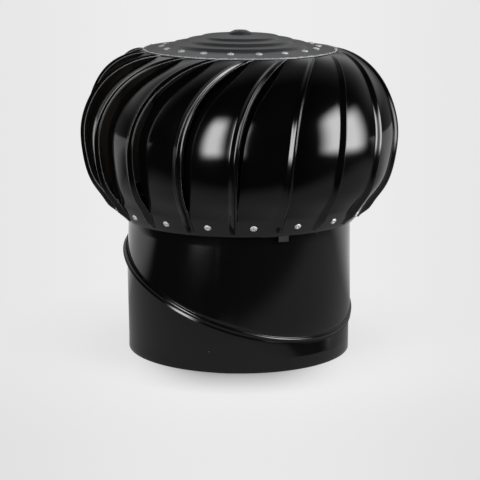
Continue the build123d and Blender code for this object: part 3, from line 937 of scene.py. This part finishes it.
@dataclass
class Blades:
    """The eighteen curved blades, each with a swaged bead beside its free edge."""

    finishes: Finishes
    head: Head = field(default_factory=Head)
    outline: tuple[Point, ...] = (
        (157.5, 393.0),
        (182.0, 371.0),
        (199.5, 341.0),
        (208.5, 307.0),
        (206.5, 270.0),
        (193.5, 230.0),
    )
    rim_inset: float = 1.5
    foot_gap: float = 2.0
    edge_angle: float = -0.9
    edge_twist: float = 28.9
    twist_power: int = 4
    butt_trim: float = 0.4
    open_span: float = 18.1
    open_drop: float = 11.0
    open_power: int = 4
    camber: float = 1.7
    tuck: float = 2.4
    top_tuck: float = 4.5
    top_tuck_span: Point = (0.15, 0.45)
    foot_fade: float = 0.7
    foot_fade_rise: float = 16.0
    tab_inner_radius: float = 96.5
    foot_bottom: float = 186.5
    bead_setback: float = 4.2
    bead_back: float = 8.0
    bead_front: float = 2.8
    bead_rise: float = 4.6
    bead_foot_rise: float = 6.6
    bead_foot_power: int = 8
    bead_top: float = 0.03
    bead_top_fade: float = 0.8
    bead_top_power: int = 6
    tab_rows: int = 8
    panel_rows: int = 92
    foot_rows: int = 8
    panel_columns: int = 16
    bead_columns: tuple[int, int, int] = (3, 9, 13)
    sharp: float = 38.0

    def meridian(self) -> tuple[np.ndarray, np.ndarray, np.ndarray]:
        """Gives the free edge's line from the tab to the foot, in radius and height.

        Returns:
            Points, unit directions and the share of the panel travelled (0 on the tab, 1 on
            the foot).
        """
        head = self.head
        top = head.flange_point(head.rim_radius - self.rim_inset, head.tab_depth)
        bottom = head.ring_point(head.ring_top + self.foot_gap, head.foot_lift)
        curve = clamped_spline([top, *self.outline, bottom], (1, -head.flange_slope), (-head.ring_slope, -1))
        length = np.r_[0, np.cumsum(np.linalg.norm(np.diff(curve, axis=0), axis=1))]
        length /= length[-1]
        travel = np.linspace(0, 1, self.panel_rows)
        panel = np.stack([np.interp(travel, length, curve[:, axis]) for axis in (0, 1)], axis=1)
        tab_radii = np.linspace(self.tab_inner_radius, top[0], self.tab_rows, endpoint=False)
        tab = np.array([head.flange_point(radius, head.tab_depth) for radius in tab_radii])
        foot_heights = np.linspace(bottom[1], self.foot_bottom, self.foot_rows + 1)[1:]
        foot = np.array([head.ring_point(height, head.foot_lift) for height in foot_heights])
        line = np.vstack([tab, panel, foot])
        ways = np.gradient(line, axis=0)
        ways /= np.linalg.norm(ways, axis=1)[:, None]
        shares = np.r_[np.zeros(len(tab)), travel, np.ones(len(foot))]
        return line, ways, shares

    def bead(self, distance: np.ndarray, rise: float) -> np.ndarray:
        """Gives the bead's height at distances from the free edge.

        Args:
            distance: millimetres in from the free edge.
            rise: height of the crest.

        Returns:
            Heights above the panel.
        """
        back = np.clip((self.bead_setback + self.bead_back - distance) / self.bead_back, 0, 1)
        front = np.clip((distance - self.bead_setback + self.bead_front) / self.bead_front, 0, 1)
        return rise * np.minimum(0.5 - 0.5 * np.cos(np.pi * back), 0.5 - 0.5 * np.cos(np.pi * front))

    def across_steps(self) -> np.ndarray:
        """Gives the places of the bead's columns.

        Returns:
            Distances in from the free edge.
        """
        lip = self.bead_setback - self.bead_front
        edge, front, back = self.bead_columns
        return np.r_[
            np.linspace(0, lip, edge, endpoint=False),
            np.linspace(lip, self.bead_setback, front, endpoint=False),
            np.linspace(self.bead_setback, self.bead_setback + self.bead_back, back),
        ]

    def bead_height(self, share: float, height: float) -> float:
        """Gives the height of the bead's crest at one row.

        Args:
            share: share of the panel travelled.
            height: the row's height above the base.

        Returns:
            The crest's height above the panel.
        """
        start = smooth_step(0.0, self.bead_top, np.array([share]))[0]
        settled = smooth_step(self.foot_bottom, self.foot_bottom + self.foot_fade_rise, height)
        settled = 1 - self.foot_fade * (1 - settled)
        rise = self.bead_rise * (1 - self.bead_top_fade * (1 - share) ** self.bead_top_power)
        rise += (self.bead_foot_rise - self.bead_rise) * share**self.bead_foot_power
        return start * settled * rise

    def skin(self) -> np.ndarray:
        """Lays out the outer face of the first blade.

        Returns:
            Points by row (tab to foot), column (inner edge to free edge) and axis.
        """
        beads = self.across_steps()[::-1]
        butt = self.head.pitch - self.butt_trim
        rows = []
        for place, way, share in zip(*self.meridian()):
            openness = 1 - (2 * share - 1) ** self.open_power
            span = butt + (self.open_span - butt) * openness
            width = math.radians(span) * place[0]
            tuck = self.tuck + self.top_tuck * (1 - smooth_step(*self.top_tuck_span, share))
            reach = math.radians(span + tuck * openness) * place[0]
            distance = np.r_[np.linspace(reach, beads[0], self.panel_columns, endpoint=False), beads]
            across = 1 - distance / width
            arch = openness * (4 * self.camber * across * (1 - across) - self.open_drop * (1 - across))
            lift = arch + self.bead(distance, self.bead_height(share, place[1]))
            turn = self.edge_angle + self.edge_twist * (1 - share) ** self.twist_power
            angle = np.radians(turn - span * (1 - across))
            radius = place[0] - way[1] * lift
            height = place[1] + way[0] * lift
            rows.append(np.stack([radius * np.sin(angle), -radius * np.cos(angle), height], axis=1))
        return np.array(rows)

    def master(self) -> bpy.types.Object:
        """Builds the first blade as a closed sheet, with a face attribute for its sides.

        Returns:
            The blade, not dressed.
        """
        outer = self.skin()
        normals = np.cross(np.gradient(outer, axis=0), np.gradient(outer, axis=1))
        normals /= np.linalg.norm(normals, axis=2)[:, :, None]
        inner = outer - normals * self.head.blade_sheet
        rows, columns = outer.shape[:2]
        total = rows * columns
        faces: list[tuple[int, ...]] = []
        for row in range(rows - 1):
            for corner in range(row * columns, (row + 1) * columns - 1):
                faces.append((corner, corner + columns, corner + columns + 1, corner + 1))
        outside = len(faces)
        faces += [tuple(total + number for number in reversed(face)) for face in faces[:outside]]
        border = list(range(columns))
        border += [row * columns + columns - 1 for row in range(1, rows)]
        border += [(rows - 1) * columns + column for column in range(columns - 2, -1, -1)]
        border += [row * columns for row in range(rows - 2, 0, -1)]
        for here, there in zip(border, border[1:] + border[:1]):
            faces.append((here, there, total + there, total + here))
        points = np.vstack([outer.reshape(-1, 3), inner.reshape(-1, 3)])
        blade = new_object("blade_master", points, faces, self.sharp)
        side = blade.data.attributes.new("side", "INT", "FACE")
        values = np.zeros(len(faces), np.int32)
        values[outside : 2 * outside] = 1
        values[2 * outside :] = 2
        side.data.foreach_set("value", values)
        return blade

    def tree(self) -> bpy.types.NodeTree:
        """Builds the node tree that turns a copy of the blade to its place and paints its sides.

        Returns:
            The geometry node tree.
        """
        tree, start = new_group("blade_place", {"Blade": "Object", "Number": "Int", "Count": "Int"})
        form = add_node(tree, "GeometryNodeObjectInfo", {"Object": start.outputs["Blade"]})
        share = {0: 2 * math.pi, 1: start.outputs["Count"]}
        step = add_node(tree, "ShaderNodeMath", share, operation="DIVIDE")
        turn = add_node(tree, "ShaderNodeMath", {0: start.outputs["Number"], 1: step}, operation="MULTIPLY")
        spin = add_node(tree, "ShaderNodeCombineXYZ", {"Z": turn})
        move = {"Geometry": form.outputs["Geometry"], "Rotation": spin}
        placed = add_node(tree, "GeometryNodeTransform", move)
        last = add_node(tree, "GeometryNodeRealizeInstances", {"Geometry": placed})
        side = add_node(tree, "GeometryNodeInputNamedAttribute", {"Name": "side"}, data_type="INT")
        materials = (self.finishes.gloss_black, self.finishes.backing, self.finishes.cut_edge)
        for value, material in enumerate(materials):
            same = {2: side.outputs["Attribute"], 3: value}
            chosen = add_node(tree, "FunctionNodeCompare", same, data_type="INT", operation="EQUAL")
            coat = {"Geometry": last, "Selection": chosen, "Material": material}
            last = add_node(tree, "GeometryNodeSetMaterial", coat)
        add_node(tree, "NodeGroupOutput", {0: last})
        return tree

    def build(self) -> list[bpy.types.Object]:
        """Builds all the blades and sets each in its place.

        Returns:
            The finished pieces.
        """
        master = self.master()
        tree = self.tree()
        made = []
        for number in range(self.head.blades):
            name = f"blade_{number + 1:02d}"
            values = {"Blade": master, "Number": number, "Count": self.head.blades}
            blade = grow(f"{name}_pressed", tree, values)
            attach(blade, "rotor")
            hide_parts(name)
            made.append(blade)
        bpy.data.objects.remove(master)
        return made


@dataclass
class BottomRing:
    """The conical band that the blades' feet are riveted to."""

    finishes: Finishes
    head: Head = field(default_factory=Head)
    columns: int = 288
    edge_radii: tuple[float, ...] = (0.3, 0.5, 0.3, 0.3)
    lap_start: float = 10.5
    lap_end: float = 18.2
    lap_columns: int = 14
    lap_drop: float = 1.1
    lap_top: float = 198.0
    lap_depths: Point = (1.3, 2.2)

    def build(self) -> list[bpy.types.Object]:
        """Builds the band and the short lap where its ends meet.

        Returns:
            The finished pieces.
        """
        head = self.head
        corners = [
            head.ring_point(head.ring_bottom, -head.ring_sheet),
            head.ring_point(head.ring_bottom),
            head.ring_point(head.ring_top),
            head.ring_point(head.ring_top, -head.ring_sheet),
        ]
        outline = rounded_outline(corners, list(self.edge_radii), 4)
        band = lathe("rotor_bottom_band", outline, self.columns, True)
        angles = np.linspace(self.lap_start, self.lap_end, self.lap_columns)
        low = head.ring_bottom - self.lap_drop
        front, back = self.lap_depths
        rows = []
        for height, depth in ((low, front), (self.lap_top, front), (self.lap_top, back), (low, back)):
            radius, z = head.ring_point(height, -depth)
            rows.append(np.array([around(angle) * radius + np.array([0, 0, z]) for angle in angles]))
        count = self.lap_columns
        faces = loop_faces(4, count, True, False)
        faces += [(0, count, 2 * count, 3 * count), tuple(row * count + count - 1 for row in (3, 2, 1, 0))]
        lap = new_object("rotor_band_lap", np.vstack(rows), faces, 35.0)
        for piece in (band, lap):
            piece.data.materials.append(self.finishes.gloss_black)
            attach(piece, "rotor")
        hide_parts("bottom_ring")
        return [band, lap]


@dataclass
class Cap:
    """The pressed cap over the blades' tabs, and the knob that closes its middle."""

    finishes: Finishes
    head: Head = field(default_factory=Head)
    steps: tuple[Point, ...] = (
        (94.0, 4.2),
        (88.5, 8.2),
        (74.0, 9.6),
        (69.5, 13.2),
        (54.5, 14.6),
        (50.4, 17.6),
        (24.0, 19.8),
    )
    hole: float = 4.2
    rim_rounding: float = 0.35
    step_rounding: float = 4.0
    hole_rounding: float = 0.2
    cut_edge_and_highlight_width: float = 0.25
    columns: int = 288
    sharp: float = 50.0
    knob_radius: float = 15.0
    knob_height: float = 5.4
    knob_columns: int = 96
    stem_radius: float = 4.0
    stem_depth: float = 5.0
    knob_seat: float = 0.02
    knob_edge: float = 0.3
    knob_curve: tuple[Point, ...] = (
        (0.5, 0.32), (1.6, 0.47), (3.4, 0.62), (6.8, 0.9), (9.5, 0.955), (12.5, 0.99), (14.2, 1.0)
    )

    def build(self) -> list[bpy.types.Object]:
        """Builds the cap and its knob.

        Returns:
            The finished pieces.
        """
        head = self.head
        top = [(head.rim_radius, head.rim_height)]
        top += [(radius, head.rim_height + climb) for radius, climb in self.steps]
        land = top[-1][1]
        top.append((self.hole, land))
        under = [(radius, height - head.cap_sheet) for radius, height in reversed(top)]
        corners = under[-1:] + top + under[:-1]
        terraces = [self.step_rounding] * len(self.steps)
        radii = [self.rim_rounding] * 2 + terraces + [self.hole_rounding] * 2 + terraces
        outline = rounded_outline(corners, radii, 7)
        cap = lathe("pressed_cap", outline, self.columns, True, self.sharp)
        cap.data.materials.append(self.finishes.satin_grey)
        cap.data.materials.append(self.finishes.cut_edge)
        # The outer 0.25 mm of the rim, the sheet's sheared edge, takes the pale cut-edge finish: partly the
        # bare edge, partly a painted highlight along the rim
        for face in cap.data.polygons:
            if math.hypot(face.center.x, face.center.y) > (head.rim_radius - self.cut_edge_and_highlight_width) * MM:
                face.material_index = 1
        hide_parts("top_cap")
        seat = land + self.knob_seat
        dome = [
            (self.stem_radius, land - self.stem_depth),
            (self.stem_radius, seat),
            (self.knob_radius - self.knob_edge, seat),
            (self.knob_radius, land + self.knob_edge),
        ]
        for inset, share in self.knob_curve:
            dome.append((self.knob_radius - inset, land + share * self.knob_height))
        knob = lathe("cap_centre_knob", np.array(dome), self.knob_columns, False, self.sharp)
        knob.data.materials.append(self.finishes.satin_grey)
        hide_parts("cap_knob")
        for piece in (cap, knob):
            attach(piece, "rotor")
        return [cap, knob]


@dataclass
class Rivets:
    """The two rows of blind rivets, set round the flange and the bottom ring."""

    finishes: Finishes
    head: Head = field(default_factory=Head)
    head_radius: float = 4.7
    head_height: float = 2.0
    head_edge: float = 0.15
    head_curve: tuple[Point, ...] = (
        (1.0, 0.16), (0.93, 0.45), (0.8, 0.72), (0.6, 0.93), (0.44, 1.0),
        (0.34, 0.97), (0.27, 0.8), (0.22, 0.5), (0.12, 0.42),
    )
    shank: float = 2.0
    tail_radius: float = 3.4
    tail_height: float = 1.4
    tail_taper: float = 0.8
    tail_edge: float = 0.3
    tail_hole: float = 0.4
    columns: int = 28
    sharp: float = 45.0
    spread: Point = (0.97, 1.0)
    top_radius: float = 104.0
    top_angle: float = 13.4
    bottom_height: float = 195.0
    bottom_angle: float = -13.7

    def form(self, name: str, grip: float) -> bpy.types.Object:
        """Turns one rivet about +Z, with its head's seat at the origin.

        Args:
            name: the object's name.
            grip: thickness of the sheets that it holds.

        Returns:
            The rivet.
        """
        outline = [
            (self.tail_hole, -grip - self.tail_height),
            (self.tail_radius - self.tail_taper, -grip - self.tail_height),
            (self.tail_radius, -grip - self.tail_edge),
            (self.tail_radius, -grip),
            (self.shank, -grip),
            (self.shank, 0.0),
            (self.head_radius - self.head_edge, 0.0),
        ]
        outline += [(out * self.head_radius, up * self.head_height) for out, up in self.head_curve]
        return lathe(name, np.array(outline), self.columns, False, self.sharp)

    def tree(self) -> bpy.types.NodeTree:
        """Builds the node tree that sets copies of a rivet round a cone.

        Returns:
            The geometry node tree.
        """
        sockets = {"Rivet": "Object", "Count": "Int", "Row Radius": "Float", "Row Height": "Float"}
        sockets |= {"First Angle": "Float", "Lean": "Float", "Finish": "Material"}
        tree, node = new_group("rivet_row", sockets)
        start = node.outputs
        round_row = {"Vertices": start["Count"], "Radius": start["Row Radius"]}
        circle = add_node(tree, "GeometryNodeMeshCircle", round_row)
        lift = add_node(tree, "ShaderNodeCombineXYZ", {"Z": start["Row Height"]})
        turn = add_node(tree, "ShaderNodeCombineXYZ", {"Z": start["First Angle"]})
        move = {"Geometry": circle, "Translation": lift, "Rotation": turn}
        row = add_node(tree, "GeometryNodeTransform", move)
        place = add_node(tree, "GeometryNodeInputPosition")
        level = add_node(tree, "ShaderNodeVectorMath", {0: place, 1: (1.0, 1.0, 0.0)}, operation="MULTIPLY")
        outwards = add_node(tree, "ShaderNodeVectorMath", {0: level}, operation="NORMALIZE")
        flat = add_node(tree, "ShaderNodeMath", {0: start["Lean"]}, operation="COSINE")
        steep = add_node(tree, "ShaderNodeMath", {0: start["Lean"]}, operation="SINE")
        reach = add_node(tree, "ShaderNodeVectorMath", {0: outwards, "Scale": flat}, operation="SCALE")
        climb = add_node(tree, "ShaderNodeCombineXYZ", {"Z": steep})
        normal = add_node(tree, "ShaderNodeVectorMath", {0: reach, 1: climb}, operation="ADD")
        upright = add_node(tree, "FunctionNodeAlignRotationToVector", {"Vector": normal}, axis="Z")
        # Hand-set rivets differ a little in how far their heads spread
        sizes = {"Min": self.spread[0], "Max": self.spread[1], "Seed": 7}
        spread = add_node(tree, "FunctionNodeRandomValue", sizes, data_type="FLOAT").outputs[1]
        form = add_node(tree, "GeometryNodeObjectInfo", {"Object": start["Rivet"]}).outputs["Geometry"]
        copies = {"Points": row, "Instance": form, "Rotation": upright, "Scale": spread}
        placed = add_node(tree, "GeometryNodeInstanceOnPoints", copies)
        real = add_node(tree, "GeometryNodeRealizeInstances", {"Geometry": placed})
        painted = add_node(tree, "GeometryNodeSetMaterial", {"Geometry": real, "Material": start["Finish"]})
        add_node(tree, "NodeGroupOutput", {0: painted})
        return tree

    def build(self) -> list[bpy.types.Object]:
        """Sets both rows of rivets.

        Returns:
            The finished pieces.
        """
        head = self.head
        tree = self.tree()
        bottom_grip = head.foot_lift + head.ring_sheet + 2 * head.film
        top_grip = head.tab_depth + bottom_grip
        flange_lean = math.pi / 2 - math.atan(head.flange_slope)
        ring_lean = -math.atan(head.ring_slope)
        top_seat = head.flange_point(self.top_radius)
        bottom_seat = head.ring_point(self.bottom_height, head.foot_lift)
        made = []
        for name, grip, (radius, height), lean, angle in (
            ("top_rivets", top_grip, top_seat, flange_lean, self.top_angle),
            ("bottom_rivets", bottom_grip, bottom_seat, ring_lean, self.bottom_angle),
        ):
            form = self.form(f"{name}_form", grip)
            values = {
                "Rivet": form,
                "Count": head.blades,
                "Row Radius": (radius + head.film * math.cos(lean)) * MM,
                "Row Height": (height + head.film * math.sin(lean)) * MM,
                "First Angle": math.radians(angle - 90),
                "Lean": lean,
                "Finish": self.finishes.aluminium,
            }
            rivets = grow(f"{name}_set", tree, values)
            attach(rivets, "rotor")
            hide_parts(name)
            bpy.data.objects.remove(form)
            made.append(rivets)
        return made


@dataclass
class Workings:
    """The solid parts inside the throat and head, which keep their own shapes."""

    finishes: Finishes

    def build(self) -> list[bpy.types.Object]:
        """Dresses the parts with their finishes.

        Returns:
            The dressed parts.
        """
        finishes = self.finishes
        groups = {
            # The parts inside take the black zinc, whose dark colour is partly painted shade for the dim
            # inside
            finishes.black_zinc_and_painted_shade: (
                "shaft", "lower_brace", "upper_brace", "brace_spacer", "lower_washer", "upper_washer",
                "lower_shaft_nut", "upper_shaft_nut", "retaining_collar", "support_collar", "lower_hub",
                "bearing_housing", "knob_nut", "brace_rivets", "arm_rivets",
            ),
            finishes.strap_black: ("rotor_arm_1", "rotor_arm_2", "rotor_arm_3"),
            finishes.bronze: ("lower_bush",),
            finishes.bearing: ("shaft_bearing",),
            finishes.gloss_black: ("top_ring",),
        }
        dressed = []
        for material, names in groups.items():
            for name in names:
                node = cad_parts[name]
                node.data.materials.clear()
                node.data.materials.append(material)
                dressed.append(node)
        return dressed


# ---------------------------------------------------------------- studio


@dataclass(frozen=True)
class SoftBox:
    """One soft box that stands upright beside the object: sizes in metres, power in watts."""

    name: str
    place: Place
    aim: Place
    size: Point
    power: float
    soft_sides: float = 0.42
    soft_top: float = 0.35
    soft_bottom: float = 0.18

    def build(self) -> None:
        """Hangs the lamp behind a cloth that is dimmer towards its frame."""
        data = bpy.data.lights.new(self.name, "AREA")
        data.shape = "RECTANGLE"
        data.size, data.size_y = self.size
        data.energy = self.power
        data.use_nodes = True
        tree = data.node_tree
        tree.nodes.clear()
        cloth = add_node(tree, "ShaderNodeNewGeometry").outputs["Parametric"]
        parts = add_node(tree, "ShaderNodeSeparateXYZ", {0: cloth}).outputs
        level: object = 1.0
        sides = ("X", self.soft_sides, self.soft_sides)
        for axis, near, far in (sides, ("Y", self.soft_bottom, self.soft_top)):
            for span, levels in (((0.0, near), (0.0, 1.0)), ((1.0 - far, 1.0), (1.0, 0.0))):
                edge = ranged(parts[axis], span, levels)
                soft = add_node(tree, "ShaderNodeMapRange", edge, interpolation_type="SMOOTHSTEP")
                level = add_node(tree, "ShaderNodeMath", {0: soft, 1: level}, operation="MULTIPLY")
        glow = add_node(tree, "ShaderNodeEmission", {"Strength": level})
        add_node(tree, "ShaderNodeOutputLight", {"Surface": glow})
        lamp = bpy.data.objects.new(self.name, data)
        lamp.location = self.place
        lamp.rotation_euler = (Vector(self.aim) - Vector(self.place)).to_track_quat("-Z", "Y").to_euler()
        bpy.context.scene.collection.objects.link(lamp)


@dataclass
class Studio:
    """Pale floor, two tall soft boxes, a pale room and the camera, in metres and degrees.

    A field that ends in _span holds the places between which a level changes, and one that ends
    in _levels the level at each of them.
    """

    distance: float = 2.4
    height: float = 0.6545
    pitch: float = 11.986
    roll: float = 0.307
    shift_right: float = 0.00113
    focal: float = 135.42
    pale: str = "#eeeeee"
    paint: str = "#dedede"
    floor_half: float = 14.0
    nearest_share: float = 0.5
    side_span: Point = (0.02, 0.16)
    side_levels: Point = (1.0, 0.93)
    front_span: Point = (-0.5, 0.0)
    front_levels: Point = (0.95, 1.0)
    shadow_reach: float = 0.1
    shadow_power: float = 1.5
    shadow_span: Point = (0.03, 0.15)
    shadow_levels: Point = (0.0, 0.88)
    tube_shade_span: Point = (0.144, 0.149)
    tube_shade_levels: Point = (0.02, 1.0)
    paper_centre: float = 0.12
    paper_squeeze: float = 0.55
    paper_span: Point = (0.36, 0.6)
    paper_levels: Point = (0.32, 0.01)
    behind_span: Point = (0.0, 0.6)
    lit_span: Point = (0.16, 0.4)
    lit_levels: Point = (0.9, 1.0)
    room_span: Point = (0.0, 0.85)
    room_levels: Point = (0.01, 1.0)
    climb_span: Point = (0.2, 0.45)
    climb_levels: Point = (0.22, 0.85)
    ceiling_span: Point = (0.45, 0.85)
    ceiling_levels: Point = (1.0, 0.3)
    fill_span: Point = (0.3, 1.0)
    fill_levels: Point = (0.4, 0.2)
    boxes: tuple[SoftBox, ...] = (
        SoftBox("soft_box_left", (-0.42, -0.664, 0.525), (-0.033, -0.205, 0.525), (0.44, 0.83), 14.8),
        SoftBox("soft_box_right", (0.672, -0.418, 0.525), (0.131, -0.157, 0.525), (0.76, 0.83), 26.0),
    )

    def camera(self) -> None:
        """Sets the camera at the viewing angle."""
        data = bpy.data.cameras.new("camera")
        data.lens = self.focal
        data.sensor_width = 36.0
        data.sensor_fit = "HORIZONTAL"
        data.clip_end = 60.0
        camera = bpy.data.objects.new("camera", data)
        tilt = Matrix.Rotation(math.radians(90 - self.pitch), 3, "X")
        camera.rotation_euler = (tilt @ Matrix.Rotation(math.radians(self.roll), 3, "Z")).to_euler()
        camera.location = (self.shift_right, -self.distance, self.height)
        bpy.context.scene.collection.objects.link(camera)
        bpy.context.scene.camera = camera

    def floor(self) -> None:
        """Lays the paper sweep, which keeps the shadow near the object and is evenly pale elsewhere.

        In reflections the paper is dimmer than it looks, and the room in front of its end is dark.
        """
        half = self.floor_half
        mesh = bpy.data.meshes.new("floor")
        corners = [(-half, -half, 0), (half, -half, 0), (half, half, 0), (-half, half, 0)]
        mesh.from_pydata(corners, [], [(0, 1, 2, 3)])
        floor = bpy.data.objects.new("floor", mesh)
        bpy.context.scene.collection.objects.link(floor)
        material, tree, output = new_material("studio_floor")
        node = partial(add_node, tree)
        soft = partial(node, "ShaderNodeMapRange", interpolation_type="SMOOTHSTEP")
        place = node("ShaderNodeTexCoord").outputs["Object"]
        parts = node("ShaderNodeSeparateXYZ", {0: place}).outputs
        path = node("ShaderNodeLightPath").outputs
        far = node("ShaderNodeVectorMath", {0: place}, operation="LENGTH")
        # The lamps light the middle of the sweep a little more than its sides and its front
        depth = node("ShaderNodeMath", {0: parts["Y"], 1: self.distance}, operation="ADD")
        depth = node("ShaderNodeMath", {0: depth, 1: self.nearest_share * self.distance}, operation="MAXIMUM")
        sideways = node("ShaderNodeMath", {0: parts["X"], 1: depth}, operation="DIVIDE")
        sideways = node("ShaderNodeMath", {0: sideways}, operation="ABSOLUTE")
        falloff = soft(ranged(sideways, self.side_span, self.side_levels))
        front = soft(ranged(parts["Y"], self.front_span, self.front_levels))
        even = node("ShaderNodeMath", {0: falloff, 1: front}, operation="MULTIPLY")
        # The soft shadow under an even ceiling: the paper is dim where the object closes off its sky
        sky = node("ShaderNodeAmbientOcclusion", {"Distance": self.shadow_reach}, samples=16).outputs["AO"]
        open_sky = node("ShaderNodeMath", {0: sky, 1: self.shadow_power}, operation="POWER")
        beside = node("ShaderNodeMath", {0: parts["X"]}, operation="ABSOLUTE")
        dimmest = soft(ranged(beside, self.shadow_span, self.shadow_levels))
        shade = node("ShaderNodeMix", {"Factor": open_sky, "A": dimmest, "B": 1.0})
        # Painted shade: inside the lower throat's circle the paper is drawn nearly black, for the tube's own
        # shade
        inside = soft(ranged(far, self.tube_shade_span, self.tube_shade_levels))
        seen = node("ShaderNodeMath", {0: even, 1: shade}, operation="MULTIPLY")
        seen = node("ShaderNodeMath", {0: seen, 1: inside}, operation="MULTIPLY")
        # Mirrored, the paper is an oval under the object, and pale again only behind it
        middle = (self.paper_centre, 0.0, 0.0)
        offset = node("ShaderNodeVectorMath", {0: place, 1: middle}, operation="SUBTRACT")
        squeeze = (self.paper_squeeze, 1.0, 1.0)
        oval = node("ShaderNodeVectorMath", {0: offset, 1: squeeze}, operation="MULTIPLY")
        away = node("ShaderNodeVectorMath", {0: oval}, operation="LENGTH")
        paper = soft(ranged(away, self.paper_span, self.paper_levels))
        behind = soft(ranged(parts["Y"], self.behind_span, (0.0, 1.0)))
        mirrored = node("ShaderNodeMath", {0: paper, 1: behind}, operation="MAXIMUM")
        level = node("ShaderNodeMix", {"Factor": path["Is Camera Ray"], "A": mirrored, "B": seen})
        paint = node("ShaderNodeBsdfDiffuse", {"Color": linear_colour(self.paint)})
        glow = node("ShaderNodeEmission", {"Color": linear_colour(self.pale), "Strength": level})
        share = soft(ranged(far, self.lit_span, self.lit_levels))
        mixed = node("ShaderNodeMixShader", {0: share, 1: paint, 2: glow})
        tree.links.new(mixed.outputs[0], output.inputs["Surface"])
        floor.data.materials.append(material)

    def world(self) -> None:
        """Sets the room: pale to the eye, and in reflections pale only low down behind the object."""
        world = bpy.data.worlds.new("studio_room")
        bpy.context.scene.world = world
        world.use_nodes = True
        tree = world.node_tree
        tree.nodes.clear()
        node = partial(add_node, tree)
        soft = partial(node, "ShaderNodeMapRange", interpolation_type="SMOOTHSTEP")
        way = node("ShaderNodeTexCoord").outputs["Generated"]
        parts = node("ShaderNodeSeparateXYZ", {0: way}).outputs
        path = node("ShaderNodeLightPath").outputs
        behind = soft(ranged(parts["Y"], self.room_span, self.room_levels))
        climb = soft(ranged(parts["Z"], self.climb_span, self.climb_levels))
        ceiling = soft(ranged(parts["Z"], self.ceiling_span, self.ceiling_levels))
        upper = node("ShaderNodeMath", {0: climb, 1: ceiling}, operation="MULTIPLY")
        mirrored = node("ShaderNodeMath", {0: behind, 1: upper}, operation="MULTIPLY")
        fill = soft(ranged(parts["Z"], self.fill_span, self.fill_levels))
        level = node("ShaderNodeMix", {"Factor": path["Is Glossy Ray"], "A": fill, "B": mirrored})
        seen = node("ShaderNodeMath", {0: level, 1: path["Is Camera Ray"]}, operation="MAXIMUM")
        room = node("ShaderNodeBackground", {"Color": linear_colour(self.pale), "Strength": seen})
        node("ShaderNodeOutputWorld", {"Surface": room})

    def build(self) -> None:
        """Builds the whole studio."""
        self.camera()
        self.floor()
        self.world()
        for box in self.boxes:
            box.build()
        bpy.context.scene.view_settings.view_transform = "Standard"


def main() -> None:
    """Builds the studio and every sub-assembly in order, and reports each piece."""
    logging.basicConfig(level=logging.INFO, format="%(message)s")
    Studio().build()
    finishes = Finishes()
    head = Head()
    for assembly in (
        LowerThroat(finishes),
        UpperThroat(finishes),
        Blades(finishes, head),
        BottomRing(finishes, head),
        Cap(finishes, head),
        Rivets(finishes, head),
        Workings(finishes),
    ):
        for piece in assembly.build():
            LOG.info("%s: %s, %d faces", type(assembly).__name__, piece.name, len(piece.data.polygons))


if __name__ == "__main__":
    main()
